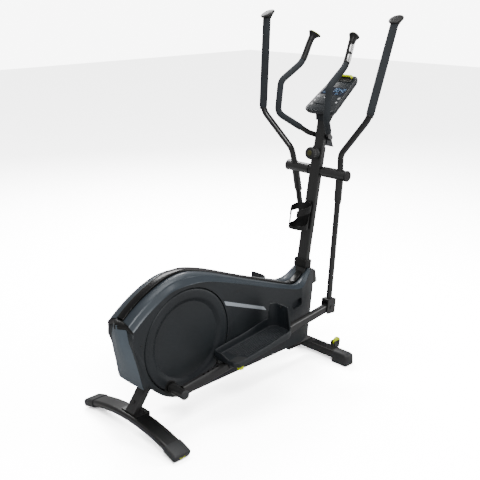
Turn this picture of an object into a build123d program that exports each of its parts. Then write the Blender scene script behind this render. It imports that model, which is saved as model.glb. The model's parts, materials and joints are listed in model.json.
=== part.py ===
from build123d import *
import math
import os

# Elliptical trainer, millimetres.
# X runs forward from the rear stabilizer to the console, Y to the user's left, Z up.
# Distances named *_d are measured forward from the rear stabilizer's axis; at() turns them into X.

# --- driving dimensions --------------------------------------------------------------------------
origin_d = 638.55             # the origin lies midway along the machine, on the floor

rear_half_width = 312.0       # rear stabilizer, an arched flat-oval tube
rear_tube_half = 245.0
rear_section = (80.0, 30.0)
rear_cap_section = (86.0, 35.0)
rear_mid_z = 76.0
rear_end_z = 24.0
foot_y = 284.0

front_d = 1108.0              # front stabilizer, a box tube with end caps
front_half_width = 265.0
front_tube_half = 176.0
front_section = (54.0, 38.0)
front_mid_z = 39.0
front_cap_top = 62.0
front_plate_z = 58.2
wheel_d = 1159.0
wheel_y = 138.0
wheel_z = 73.0
wheel_radius = 22.0

column_foot = (-12.0, 88.0)   # rear column, distance and height of its two ends
column_head = (108.0, 246.0)
column_section = (56.0, 34.0)

disc_d = 233.8                # crank and its covers
disc_z = 365.8
disc_radius = 225.0
disc_face_y = 86.0
dish_floor_y = 66.0
crank_radius = 206.0
crank_angle_right = -120.4
crank_angle_left = -59.8
axle_radius = 12.5
boss_radius = 16.0
boss_face_y = 95.5

casing_half = 84.0            # casing shells
wall = 3.0
belly_radius = 249.0
casing_floor_z = 119.0
strip_half = 20.0

mast_foot = (970.0, 75.0)     # mast, distance and height of its foot
mast_lean = 10.4
mast_section = (31.0, 60.0)
mast_join_z = 1046.0
mast_top_z = 1214.0

pivot_d = 1135.4              # lever pivot
pivot_z = 931.8
hub_radius = 25.0
hub_inner_y = 44.0
hub_outer_y = 179.0
pin_radius = 10.0

lever_y = 140.0
lever_tube_radius = 14.5
lever_foam_radius = 18.5
lever_bend_low = (-8.6, 139.0, 95.7)
lever_bend_high = (-19.7, 284.0, 278.0)
lever_neck = (93.8, 282.0, 691.3)
lever_stub = 122.0
lever_length = 643.5
lever_swing_right = -6.0
lever_swing_left = 12.7

arm_y = 150.0
arm_section = (30.0, 44.0)
arm_corner = 11.0
sleeve_radius = 21.0
sleeve_inner_y = 98.0
sleeve_outer_y = 178.0
crank_pin_radius = 8.0
eye_radius = 19.0
link_pin_radius = 6.0

pedal_length = 372.0
pedal_width = 146.0
pedal_inner_y = 104.0
pedal_front_s = 606.0         # distance of the toe along the arm, from the crank pin
pedal_floor_n = 30.0          # height of the tray's underside over the arm's centre line
guard_top_n = 162.0
knob_inset = 40.0
knob_offset_y = 76.0

console_low = (1125.2, 1214.9)
console_high = (1339.5, 1362.0)
console_half_low = 83.6
console_half_high = 66.3
console_thick = 26.0

bar_radius = 12.5             # fixed handlebar
bar_foam_radius = 15.4
bar_points = ((1196.0, 0.0, 1082.0), (1192.0, 30.0, 1084.0), (1140.0, 62.0, 1106.0), (1014.0, 148.0, 1204.0),
              (1030.7, 145.7, 1350.8), (1161.8, 129.9, 1429.5), (1206.0, 122.3, 1526.0))
bar_bends = (26.0, 30.0, 46.0, 46.0, 110.0)
bar_tip = (1226.0, 119.0, 1561.0)

pulley_radius = 140.0
drive_radius = 27.0
flywheel_d = 690.0
flywheel_z = 312.0
flywheel_radius = 128.0
belt_gap = 0.5
belt_thick = 3.0
belt_half = 6.0

run_gap = 0.05                # radial running clearance of shafts in their bores
SIDES = (("right", -1), ("left", 1))


# --- helpers -------------------------------------------------------------------------------------
def at(d):
    return d - origin_d


def block(x0, x1, y0, y1, z0, z1):
    size = (x1 - x0, y1 - y0, z1 - z0)
    return Pos((x0 + x1) / 2, (y0 + y1) / 2, (z0 + z1) / 2) * Box(*size)


def rod(start, end, radius):
    a = Vector(*start)
    b = Vector(*end)
    plane = Plane(origin=a, z_dir=b - a)
    return extrude(plane * Circle(radius), (b - a).length)


def rod_y(x, z, radius, y0, y1):
    return rod((x, min(y0, y1), z), (x, max(y0, y1), z), radius)


def ring_y(x, z, outer, inner, y0, y1):
    past = math.copysign(1, y1 - y0)
    return rod_y(x, z, outer, y0, y1) - rod_y(x, z, inner, y0 - past, y1 + past)


def bent_tube(points, bends, outer, inner=0.0):
    path = FilletPolyline(*points, radius=bends) if bends else Polyline(*points)
    start = Plane(origin=path @ 0, z_dir=path % 0)
    body = sweep(start * Circle(outer), path=path)
    if inner > 0:
        body -= sweep(start * Circle(inner), path=path)
    return body


def prism(points, y0, y1):
    face = make_face(Polyline(*[(x, 0, z) for x, z in points], close=True))
    return Pos(0, min(y0, y1), 0) * extrude(face, abs(y1 - y0), dir=(0, 1, 0))


def swung(shape, degrees):
    """Turn a lever piece about the lever pivot; positive carries its foot forward."""
    axis = Axis((at(pivot_d), 0, pivot_z), (0, -1, 0))
    return shape.rotate(axis, degrees)


def lever_point(x, z, degrees):
    a = math.radians(degrees)
    c, s = math.cos(a), math.sin(a)
    return at(pivot_d) + c * x - s * z, pivot_z + s * x + c * z


def lever_angle(side):
    return lever_swing_right if side < 0 else lever_swing_left


def crank_point(side):
    a = math.radians(crank_angle_right if side < 0 else crank_angle_left)
    return at(disc_d) + crank_radius * math.cos(a), disc_z + crank_radius * math.sin(a)


def arm_plane(side):
    """Plane of a pedal arm: x along it from the crank pin, y sideways to the left, z across it upward."""
    px, pz = crank_point(side)
    lx, lz = lever_point(0, -lever_length, lever_angle(side))
    along = Vector(lx - px, 0, lz - pz)
    return Plane(origin=(px, 0, pz), x_dir=along, z_dir=Vector(-along.Z, 0, along.X)), along.length


def mast_x(z):
    return at(mast_foot[0]) + (z - mast_foot[1]) * math.tan(math.radians(mast_lean))


def mast_plane(z):
    """Plane square to the mast, its x pointing forward and z up along the mast."""
    a = math.radians(mast_lean)
    across = (math.cos(a), 0, -math.sin(a))
    return Plane(origin=(mast_x(z), 0, z), x_dir=across, z_dir=(math.sin(a), 0, math.cos(a)))


def along_mast(z0, z1):
    return (z1 - z0) / math.cos(math.radians(mast_lean))


# --- stabilizers and frame -----------------------------------------------------------------------
def arch_radius():
    drop = rear_mid_z - rear_end_z
    return (300.0**2 + drop**2) / (2 * drop)


def arch_sweep(section, y0, y1):
    """Sweep a flat oval along the stabilizer's arc between two widths."""
    radius = arch_radius()
    a0 = math.asin(y0 / radius)
    a1 = math.asin(y1 / radius)
    centre_z = rear_mid_z - radius
    points = [(at(0), radius * math.sin(a), centre_z + radius * math.cos(a)) for a in (a0, (a0 + a1) / 2, a1)]
    path = ThreePointArc(*points)
    start = Plane(origin=path @ 0, x_dir=(1, 0, 0), z_dir=path % 0)
    return sweep(start * RectangleRounded(*section, section[1] * 0.42), path=path)


def rear_stabilizer_tube():
    outer = arch_sweep(rear_section, -rear_tube_half, rear_tube_half)
    hollow = tuple(v - 4 for v in rear_section)
    return outer - arch_sweep(hollow, -rear_tube_half, rear_tube_half)


def rear_end_caps():
    caps = []
    for _, side in SIDES:
        inner, outer = sorted((side * (rear_tube_half + 0.2), side * rear_half_width))
        cap = arch_sweep(rear_cap_section, inner, outer)
        slot = rod((at(0), side * foot_y, 9.5), (at(0), side * foot_y, 22.5), 28.5)
        stem = rod((at(0), side * foot_y, 0), (at(0), side * foot_y, 36), 5.05)
        pad = rod((at(0), side * foot_y, -1), (at(0), side * foot_y, 9.6), 19)
        caps.append(cap - slot - stem - pad)
    return Compound(children=[c for cap in caps for c in cap.solids()])


def level_foot(side):
    y = side * foot_y
    pad = rod((at(0), y, 0), (at(0), y, 8), 17)
    stem = rod((at(0), y, 8), (at(0), y, 35), 5)
    wheel = rod((at(0), y, 12), (at(0), y, 20), 27)
    rim = [(at(0) + 27.5 * math.cos(a), y + 27.5 * math.sin(a)) for a in [math.radians(15 * i) for i in range(24)]]
    notches = Compound(children=[rod((u, v, 11), (u, v, 21), 1.6) for u, v in rim])
    return pad + stem + (wheel - notches)


def rear_saddle():
    """Plate that ties the column to the arched tube, bolted ahead of it."""
    plate = block(at(40.6), at(45), -52, 52, 66, 96)
    top = block(at(-24), at(45), -52, 52, 91.4, 96)
    column = column_solid(column_section[0] + 1, column_section[1] + 1)
    return plate + top - column


def column_solid(width, depth):
    a = Vector(at(column_foot[0]), 0, column_foot[1])
    b = Vector(at(column_head[0]), 0, column_head[1])
    plane = Plane(origin=a, x_dir=(0, 1, 0), z_dir=b - a)
    return extrude(plane * RectangleRounded(width, depth, 8), (b - a).length)


def rear_column():
    tube = column_solid(*column_section) - column_solid(column_section[0] - 5, column_section[1] - 5)
    arch_cut = arch_sweep((rear_section[0] + 0.6, rear_section[1] + 0.6), -70, 70)
    return tube - arch_cut


def main_beam():
    """Spine of the frame: floor beam, crank post, flywheel post, mast foot plate."""
    beam = block(at(178), at(992), -25, 25, 128, 164) - block(at(160), at(1000), -22, 22, 131, 161)
    beam -= extrude(mast_plane(60) * Rectangle(mast_section[0] + 1, mast_section[1] + 1), 300)
    post_top = disc_z - 33
    post = block(at(214), at(254), -48, -40, 164.2, post_top)
    post += block(at(214), at(254), 40, 48, 164.2, post_top)
    bridge = block(at(214), at(254), -48, 48, 164.2, 172)
    link = block(at(78), at(254), -40, 40, 186, 216) - block(at(70), at(260), -36, 36, 189, 213)
    link -= column_solid(column_section[0] + 1, column_section[1] + 1)
    fly = block(at(flywheel_d - 16), at(flywheel_d + 16), -44, -38, 164.2, flywheel_z + 14)
    fly += block(at(flywheel_d - 16), at(flywheel_d + 16), 38, 44, 164.2, flywheel_z + 14)
    fly += block(at(flywheel_d - 16), at(flywheel_d + 16), -44, 44, 164.2, 156 + 14)
    fly -= rod_y(at(flywheel_d), flywheel_z, 6.2, -60, 60)
    yoke_x, yoke_z = yoke_pivot()
    fly += block(yoke_x - 10, yoke_x + 10, 42, 46, 164.2, yoke_z + 12)
    fly += block(yoke_x - 10, yoke_x + 10, 25, 46, 158, 164)
    fly += rod_y(yoke_x, yoke_z, 4, 32, 42)
    plate = block(at(934), at(1112), -22, 22, front_plate_z, 72)
    solids = (beam + post + bridge + link + fly).solids() + plate.solids()
    return Compound(children=solids)


def yoke_pivot():
    return at(flywheel_d) - 168, flywheel_z + 84


def front_stabilizer_tube():
    """Box tube with the two wheel brackets welded to its front wall."""
    half_x, half_z = front_section[0] / 2, front_section[1] / 2
    z0, z1 = front_mid_z - half_z, front_mid_z + half_z
    tube = block(at(front_d) - half_x, at(front_d) + half_x, -front_tube_half, front_tube_half, z0, z1)
    tube -= block(at(front_d) - half_x + 2.5, at(front_d) + half_x - 2.5, -300, 300, z0 + 2.5, z1 - 2.5)
    for _, side in SIDES:
        y = side * wheel_y
        for off in (-12.0, 12.0):
            x0, x1 = at(front_d) + half_x - 6, at(wheel_d) + 8
            ear = block(x0, x1, y + off - 2, y + off + 2, z1 - 12, wheel_z + 8)
            ear = ear.fillet(6, ear.edges().filter_by(Axis.Y).group_by(Axis.X)[-1])
            tube += ear
        tube += rod_y(at(wheel_d), wheel_z, 5, y - 12, y + 12)
        tube += rod_y(at(wheel_d), wheel_z, 8, y - 16, y - 14)
        tube += rod_y(at(wheel_d), wheel_z, 8, y + 14, y + 16)
    return tube


def front_end_caps():
    caps = []
    for _, side in SIDES:
        y0, y1 = sorted((side * (front_tube_half + 0.2), side * front_half_width))
        cap = block(at(front_d) - 33, at(front_d) + 33, y0, y1, 0, front_cap_top)
        cap = cap.fillet(12, cap.edges().filter_by(Axis.Y).group_by(Axis.Z)[-1])
        caps.append(cap)
    return Compound(children=caps)


def transport_wheel(side):
    y = side * wheel_y
    wheel = ring_y(at(wheel_d), wheel_z, wheel_radius, 5 + run_gap, y - 8, y + 8)
    groove = ring_y(at(wheel_d), wheel_z, wheel_radius + 1, wheel_radius - 2, y - 1, y + 1)
    return wheel - groove


# --- casing --------------------------------------------------------------------------------------
crown_points = ((-44.0, 526.0), (0.0, 560.0), (65.0, 600.0), (149.0, 637.0), (219.0, 653.0), (290.0, 651.0),
                (387.0, 624.0), (472.0, 592.0), (590.0, 544.0), (717.0, 495.0), (866.0, 437.0), (944.0, 412.0),
                (994.0, 424.0), (1046.0, 468.0))
band_points = ((-44.0, 484.0), (17.0, 530.0), (85.0, 571.0), (163.0, 603.0), (262.0, 607.0), (365.0, 592.0),
               (528.0, 538.0), (705.0, 473.0), (850.0, 424.0), (930.0, 402.0), (985.0, 410.0), (1046.0, 456.0))


def spline_xz(points, y=0.0, shift=0.0):
    return Spline(*[(at(d), y, z + shift) for d, z in points])


def casing_profile(inset, rise):
    """Side outline of the shells: shoulder line on top, belly arc round the crank, flat floor, raked nose."""
    top = spline_xz(band_points, 0, rise)
    start = (at(band_points[0][0]) + inset, 0, band_points[0][1] + rise)
    rear_mid = (at(-48) + inset, 0, 437)
    radius = belly_radius - inset
    centre_x, centre_z = at(disc_d), disc_z
    join = math.radians(214)
    low = math.radians(262)
    belly_start = (centre_x + radius * math.cos(join), 0, centre_z + radius * math.sin(join))
    half = (join + low) / 2
    belly_mid = (centre_x + radius * math.cos(half), 0, centre_z + radius * math.sin(half))
    belly_end = (centre_x + radius * math.cos(low), 0, centre_z + radius * math.sin(low))
    floor_z = casing_floor_z + inset
    nose = ((at(1028) - inset, 0, floor_z), (at(1080) - inset, 0, 356), (at(1080) - inset, 0, 456 + rise),
            (at(1046), 0, 456 + rise))
    rear = Polyline((at(-44), 0, 484 + rise), start, rear_mid, belly_start) if inset else \
        Polyline((at(-44), 0, 484 + rise), rear_mid, belly_start)
    belly = ThreePointArc(belly_start, belly_mid, belly_end)
    floor = Polyline(belly_end, (at(300), 0, floor_z), *nose)
    return make_face([top, rear, belly, floor])


def plan_prism(inset):
    """Plan outline of one half, wide at the crank and narrowed to the mast."""
    half = casing_half - inset
    nose_half = 40.0 - inset
    nose_x = at(1081) - inset
    points = ((at(-60), 0.3), (at(-60), half), (at(950), half), (nose_x, nose_half), (nose_x, 0.3))
    face = make_face(Polyline(*[(x, y, 0) for x, y in points], close=True))
    return extrude(face, 760)


def casing_side(side):
    outer = extrude(casing_profile(0, 0), casing_half + 5, dir=(0, 1, 0)) & plan_prism(0)
    inner = extrude(casing_profile(wall, 60), casing_half + 5, dir=(0, 1, 0)) & plan_prism(wall)
    shell = outer - inner
    shell -= rod_y(at(disc_d), disc_z, disc_radius + 3, 60, 100)
    shell -= extrude(mast_plane(60) * Rectangle(mast_section[0] + 2, mast_section[1] + 2), 460)
    shell -= column_solid(column_section[0] + 2, column_section[1] + 2)
    recess = block(at(880), at(948), casing_half - 14, 100, 318, 352)
    shell -= recess
    if side < 0:
        shell = mirror(shell, Plane.XZ)
    return max(shell.solids(), key=lambda s: s.volume)


def top_strip():
    """Glossy centre strip that runs over the crown from the rear cover to the mast."""
    upper = spline_xz(crown_points)
    lower = spline_xz(crown_points, 0, -wall)
    ends = [Line(upper @ 0, lower @ 0), Line(upper @ 1, lower @ 1)]
    face = make_face([upper, lower] + ends)
    strip = Pos(0, -strip_half, 0) * extrude(face, 2 * strip_half, dir=(0, 1, 0))
    return strip - extrude(mast_plane(60) * Rectangle(mast_section[0] + 2, mast_section[1] + 2), 520)


def shoulder_band(side):
    """Anthracite facet between the crown strip and the side shell."""
    inner_y = strip_half + 2.6
    outer_y = casing_half - wall - 0.8
    high = spline_xz(crown_points, inner_y)
    low = spline_xz(band_points, outer_y)
    skin = Face.make_surface_from_curves(high, low)
    band = Solid.thicken(skin, wall) if skin.normal_at().Z < 0 else Solid.thicken(skin, -wall)
    band = band & plan_prism(wall + 0.6)
    band -= extrude(mast_plane(60) * Rectangle(mast_section[0] + 2, mast_section[1] + 2), 520)
    band = band.solids().sort_by(SortBy.VOLUME)[-1]
    if side < 0:
        band = mirror(band, Plane.XZ)
    return band


def rear_cover():
    """Faceted pale cover that closes the back of the casing."""
    outline = ((at(-44.5), 484), (at(-66), 510), (at(-72), 496), (at(-64), 442), (at(-41), 340), (at(-14), 240),
               (at(-2), 214), (at(8), 219), (at(-3), 244), (at(-30), 344), (at(-49), 437))
    cover = prism(outline, -casing_half + 2, casing_half - 2)
    for _, side in SIDES:
        facet = Plane(origin=(at(-60), side * 20, 0), z_dir=(-0.83, side * 0.56, 0))
        cover = split(cover, facet, keep=Keep.BOTTOM)
    return cover


def side_strips():
    """Pale parallelogram trim on each side, left blank."""
    strips = []
    for _, side in SIDES:
        points = ((at(442), 482), (at(452), 460), (at(712), 362), (at(690), 384))
        y0, y1 = sorted((side * (casing_half + 0.1), side * (casing_half + 1.1)))
        strips.append(prism(points, y0, y1))
    return Compound(children=strips)


def mast_collar():
    outer = extrude(mast_plane(478) * RectangleRounded(47, 76, 9), along_mast(478, 508))
    outer -= extrude(mast_plane(470) * Rectangle(mast_section[0] + 0.6, mast_section[1] + 0.6), 60)
    return outer


# --- mast, console, handlebar --------------------------------------------------------------------
def mast_tube(z0, z1, section, thickness):
    outer = extrude(mast_plane(z0) * RectangleRounded(*section, 6), along_mast(z0, z1))
    bore = Rectangle(section[0] - 2 * thickness, section[1] - 2 * thickness)
    inner = extrude(mast_plane(z0) * bore, along_mast(z0, z1))
    return outer - inner


def mast_lower():
    tube = mast_tube(72.2 + 3, mast_join_z, mast_section, 2.5)
    tube += block(mast_x(72) - 36, mast_x(72) + 30, -33, 33, 72.2, 77.2)
    tube -= rod_y(at(pivot_d), pivot_z, pin_radius + 0.02, -60, 60)
    knob = knob_plane()
    tube -= extrude(knob * Circle(6.2), -60) + extrude(knob * Circle(6.2), 30)
    return tube


def mast_upper():
    section = (mast_section[0] - 5.6, mast_section[1] - 5.6)
    tube = mast_tube(mast_join_z - 90, mast_top_z, section, 2.5)
    tube -= extrude(knob_plane() * Circle(6.2), -60) + extrude(knob_plane() * Circle(6.2), 30)
    tube -= rod_y(at(pivot_d), pivot_z, pin_radius + 2, -60, 60)
    return tube


def knob_plane():
    """Plane on the mast's rear face, its normal pointing rearward."""
    a = math.radians(mast_lean)
    z = 1012.0
    x = mast_x(z) - mast_section[0] / 2 * math.cos(a)
    return Plane(origin=(x, 0, z + mast_section[0] / 2 * math.sin(a)), z_dir=(-math.cos(a), 0, math.sin(a)))


def mast_knob():
    """Ribbed clamping knob with its threaded stem in the mast."""
    plane = knob_plane()
    head = extrude(plane.offset(26) * Circle(26), 26)
    head = head.fillet(3, head.edges())
    rim = [Pos(27 * math.cos(a), 27 * math.sin(a)) for a in [math.radians(20 * i) for i in range(18)]]
    ribs = Compound(children=[extrude(plane.offset(24) * spot * Circle(2.2), 30) for spot in rim])
    neck = extrude(plane.offset(0.4) * Circle(17), 26)
    stem = extrude(plane.offset(0.4) * Circle(6.0), -24)
    return (head - ribs) + neck + stem


def console_plane():
    """Plane of the console's face: x across to the right, y up the slope, z out of the face to the user."""
    dx = console_high[0] - console_low[0]
    dz = console_high[1] - console_low[1]
    mid = (at((console_low[0] + console_high[0]) / 2), 0, (console_low[1] + console_high[1]) / 2)
    return Plane(origin=mid, x_dir=(0, -1, 0), z_dir=(-dz, 0, dx)), math.hypot(dx, dz)


def console_outline(inset):
    plane, length = console_plane()
    low, high, half = console_half_low - inset, console_half_high - inset, length / 2 - inset
    sketch = make_face(Polyline((-low, -half), (low, -half), (high, half), (-high, half), close=True))
    return plane, fillet(sketch.vertices(), 12)


def console_housing():
    plane, outline = console_outline(0)
    shell = extrude(plane.offset(-console_thick) * outline, console_thick)
    underside = shell.faces().sort_by(lambda f: plane.to_local_coords(f.center()).Z)[0]
    shell = shell.chamfer(9, None, underside.edges())
    _, window = console_outline(5)
    shell -= extrude(plane.offset(-3) * window, 5)
    socket = extrude(mast_plane(1150) * Rectangle(30, 60), along_mast(1150, 1222))
    shell -= socket
    neck = extrude(mast_plane(1168) * RectangleRounded(40, 70, 6), along_mast(1168, 1216)) - socket
    neck -= extrude(plane.offset(-console_thick) * Rectangle(400, 400), 60)
    return (shell + neck).solids().sort_by(SortBy.VOLUME)[-1]


def console_face():
    plane, window = console_outline(5.3)
    return extrude(plane.offset(-2.9) * window, 3.4)


def tablet_rest():
    """Rubber-lined lip at the console's top edge."""
    plane, length = console_plane()
    lip = extrude(plane.offset(0.7) * Pos(0, length / 2 - 16) * Rectangle(96, 12), 11)
    return lip.fillet(3, lip.edges())


def fixed_handlebar():
    """One tube bent to both sides of the clamp on the mast's front face."""
    right = [(at(d), -y, z) for d, y, z in reversed(bar_points[1:])]
    left = [(at(d), y, z) for d, y, z in bar_points[1:]]
    radii = list(reversed(bar_bends)) + list(bar_bends)
    return bent_tube(right + left, radii, bar_radius, bar_radius - 2)


def bar_stretch(side, start, end, outer, inner):
    """Sleeve over one straight run or bend of the bar between two fractions of its side path."""
    points = [(at(d), side * y, z) for d, y, z in bar_points[1:]]
    path = FilletPolyline(*points, radius=bar_bends[1:])
    piece = path.trim(start, end)
    plane = Plane(origin=piece @ 0, z_dir=piece % 0)
    return sweep(plane * Circle(outer), path=piece) - sweep(plane * Circle(inner), path=piece)


def handlebar_foams():
    bore = bar_radius + 0.05
    return Compound(children=[bar_stretch(side, 0.16, 0.80, bar_foam_radius, bore) for _, side in SIDES])


def pulse_sensors():
    """Two rounded metal plates on the outboard side of each upright grip."""
    plates = []
    for _, side in SIDES:
        a = Vector(at(1168), side * 128.8, 1443)
        b = Vector(at(1206), side * 122.3, 1526)
        for t0, t1 in ((0.06, 0.44), (0.52, 0.90)):
            p, q = a + (b - a) * t0, a + (b - a) * t1
            sleeve = rod(tuple(p), tuple(q), bar_radius + 3.6) - rod(tuple(p), tuple(q), bar_radius + 1.2)
            keep = Plane(origin=(a + b) / 2 + Vector(0, side * 2, 0), z_dir=(0, side, 0))
            plates.append(split(sleeve, keep, keep=Keep.TOP))
    return Compound(children=[s for p in plates for s in p.solids()])


def tip_direction():
    a = Vector(at(bar_points[-1][0]), bar_points[-1][1], bar_points[-1][2])
    b = Vector(at(bar_tip[0]), bar_tip[1], bar_tip[2])
    return a, b, (b - a).normalized()


def tip_frame(side):
    a, b, _ = tip_direction()
    start = Vector(a.X, side * a.Y, a.Z)
    end = Vector(b.X, side * b.Y, b.Z)
    return start, end, (end - start).normalized()


def tip_caps():
    caps = []
    for _, side in SIDES:
        start, end, along = tip_frame(side)
        plane = Plane(origin=start + along * 1.4, z_dir=along)
        cap = loft([plane * Circle(bar_foam_radius), plane.offset((end - start).length - 1.4) * Circle(20)])
        cap -= extrude(plane.offset((end - start).length - 9) * Circle(13.5), 30)
        caps.append(cap)
    return Compound(children=caps)


def tip_button(side):
    _, end, along = tip_frame(side)
    plane = Plane(origin=end - along * 4.6, z_dir=along)
    button = extrude(plane * Circle(13.1), 8.6)
    return button.fillet(3, button.edges().sort_by(lambda e: plane.to_local_coords(e.center()).Z)[-1:])


def clamp_hood():
    """Wedge-shaped cover over the handlebar clamp, on the mast's front face."""
    front = mast_plane(1100)
    points = ((17, -42), (74, -52), (60, -34), (17, 66))
    face = front * make_face(Polyline(*[(x, 0, z) for x, z in points], close=True))
    hood = extrude(face, 27, both=True)
    near = bar_points[1:4]
    bar = [(at(d), -y, z) for d, y, z in reversed(near)] + [(at(d), y, z) for d, y, z in near]
    hood -= bent_tube(bar, (30, 26, 26, 30), bar_radius + 0.3)
    return hood.solids().sort_by(SortBy.VOLUME)[-1]


def bottle_cage():
    """Open hoop and lower cup on a back plate, for a bottle of 74 mm."""
    base = mast_plane(720)
    face_x = -mast_section[0] / 2
    ring_x = face_x - 56
    plate = base * Pos(face_x - 3.3, 0, 0) * Box(6, 34, 136)
    hoop = base * Pos(ring_x, 0, 50) * (Cylinder(47, 26) - Cylinder(43.5, 40))
    hoop -= base * Pos(ring_x - 40, -22, 50) * Box(60, 36, 60)
    cup = base * Pos(ring_x, 0, -46) * (Cylinder(46, 44) - Cylinder(42.5, 60))
    cup += base * Pos(ring_x, 0, -66) * Cylinder(42.6, 4)
    cup -= base * Pos(ring_x - 34, 0, -30) * Rot(0, 38, 0) * Box(60, 120, 60)
    rib = base * Pos(ring_x - 45.2, 8, -6) * Box(3.4, 16, 100)
    return (plate + hoop + cup + rib).solids().sort_by(SortBy.VOLUME)[-1]


# --- levers --------------------------------------------------------------------------------------
def pivot_axle():
    """Fixed axle through the mast, with the two collars beside it."""
    axle = rod_y(at(pivot_d), pivot_z, pin_radius, -hub_outer_y + 4, hub_outer_y - 4)
    for _, side in SIDES:
        axle += ring_y(at(pivot_d), pivot_z, 21, pin_radius - 1, side * 30.4, side * (hub_inner_y - 0.6))
    return axle


def lever_hub(side):
    x, z = at(pivot_d), pivot_z
    hub = ring_y(x, z, hub_radius, 20, side * hub_inner_y, side * hub_outer_y)
    for y in (hub_inner_y + 4, hub_outer_y - 22):
        hub += ring_y(x, z, 20.4, pin_radius + run_gap, side * y, side * (y + 14))
    cap = rod_y(x, z, hub_radius + 0.6, side * (hub_outer_y + 0.1), side * (hub_outer_y + 5))
    plug = rod_y(x, z, 19.8, side * (hub_outer_y - 2), side * (hub_outer_y + 1))
    return hub + cap + plug


def lever_path(side, points):
    return [(at(pivot_d) + x, side * y, pivot_z + z) for x, y, z in points]


def lever_handle(side):
    """Upper lever: stub below the hub, two bends, then the long grip run."""
    hub_cut = rod_y(at(pivot_d), pivot_z, hub_radius, side * 90, side * 190)
    points = lever_path(side, ((0, lever_y, 6), lever_bend_low, lever_bend_high, lever_neck))
    upper = bent_tube(points, (60, 90), lever_tube_radius, lever_tube_radius - 2)
    stub = bent_tube(lever_path(side, ((0, lever_y, -6), (0, lever_y + 1.9, -lever_stub))), None, 18, 15.4)
    return swung(Compound(children=[(upper - hub_cut).solids().sort_by(SortBy.VOLUME)[-1],
                                    (stub - hub_cut).solids().sort_by(SortBy.VOLUME)[-1]]), lever_angle(side))


def lever_grip(side):
    """Foam grip with its flared end cap."""
    low = Vector(*lever_bend_high)
    high = Vector(*lever_neck)
    along = (high - low).normalized()
    start = low + along * 12
    a, b = [Vector(at(pivot_d) + v.X, side * v.Y, pivot_z + v.Z) for v in (start, high)]
    foam = rod(tuple(a), tuple(b), lever_foam_radius) - rod(tuple(a), tuple(b), lever_tube_radius + 0.05)
    plane = Plane(origin=b + (b - a).normalized() * 0.2, z_dir=b - a)
    cap = loft([plane * Circle(18.5), plane.offset(14) * Circle(27)])
    cap += extrude(plane.offset(14) * Circle(27), 7)
    bend_points = lever_path(side, (lever_bend_low, lever_bend_high, lever_neck))
    lower_bend = bent_tube(bend_points, (90,), lever_tube_radius + 0.05)
    pieces = [(foam - lower_bend).solids().sort_by(SortBy.VOLUME)[-1], cap]
    return swung(Compound(children=pieces), lever_angle(side))


def lever_tube(side):
    """Lower lever tube with the fork that carries the pedal arm."""
    foot_z = -lever_length
    tube = bent_tube(lever_path(side, ((0, lever_y + 0.4, -30), (0, arm_y, foot_z + 44))), None, 14, 12)
    fork = lever_fork(side, foot_z)
    return swung(tube + fork, lever_angle(side))


def lever_fork(side, foot_z):
    x, z = at(pivot_d), pivot_z + foot_z
    y = side * arm_y
    fork = block(x - 29, x + 29, y - 21, y + 21, z - 30, z + 44)
    fork = fork.fillet(6, fork.edges().filter_by(Axis.Y))
    slot = block(x - 40, x + 40, y - 15.6, y + 15.6, z - 40, z + 32)
    pin = rod_y(x, z, link_pin_radius, y - 16, y + 16)
    heads = rod_y(x, z, 10, y - 24, y - 20.8) + rod_y(x, z, 10, y + 20.8, y + 24)
    return fork - slot + pin + heads


# --- pedal arms and pedals -----------------------------------------------------------------------
def pedal_arm(side):
    """Box tube between the crank-pin sleeve and the lever fork, with the pedal's adjusting holes."""
    plane, length = arm_plane(side)
    y = side * arm_y
    width, height = arm_section
    tube = Pos(length / 2, y, 0) * Box(length - sleeve_radius - eye_radius + 12, width, height)
    tube = tube.fillet(arm_corner, tube.edges().filter_by(Axis.X))
    hollow = Pos(length / 2, y, 0) * Box(length, width - 5, height - 5)
    tube -= hollow.fillet(arm_corner - 2.5, hollow.edges().filter_by(Axis.X))
    for i in range(-3, 1):
        tube -= Pos(pedal_front_s - pedal_length - 24 + 26 * i, y, height / 2) * Cylinder(5, 8)
    sleeve_y0, sleeve_y1 = side * sleeve_inner_y, side * sleeve_outer_y
    arm = plane * tube
    px, pz = crank_point(side)
    lx, lz = lever_point(0, -lever_length, lever_angle(side))
    arm -= rod_y(px, pz, sleeve_radius - 0.5, sleeve_y0, sleeve_y1)
    arm -= rod_y(lx, lz, eye_radius - 4, side * 100, side * 200)
    arm += ring_y(px, pz, sleeve_radius, crank_pin_radius + 0.02, sleeve_y0, sleeve_y1)
    arm += ring_y(lx, lz, eye_radius, link_pin_radius + run_gap, y - 15, y + 15)
    return arm


def crank_pin(side):
    """Pin in the arm's sleeve with its domed end cap; it stops short of the crank boss."""
    px, pz = crank_point(side)
    pin = rod_y(px, pz, crank_pin_radius, side * (boss_face_y + 0.6), side * (sleeve_outer_y + 1))
    cap = rod_y(px, pz, sleeve_radius, side * (sleeve_outer_y + 0.2), side * (sleeve_outer_y + 6.5))
    cap = cap.fillet(3, cap.edges().sort_by(lambda e: abs(e.center().Y))[-1:])
    return pin + cap


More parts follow.
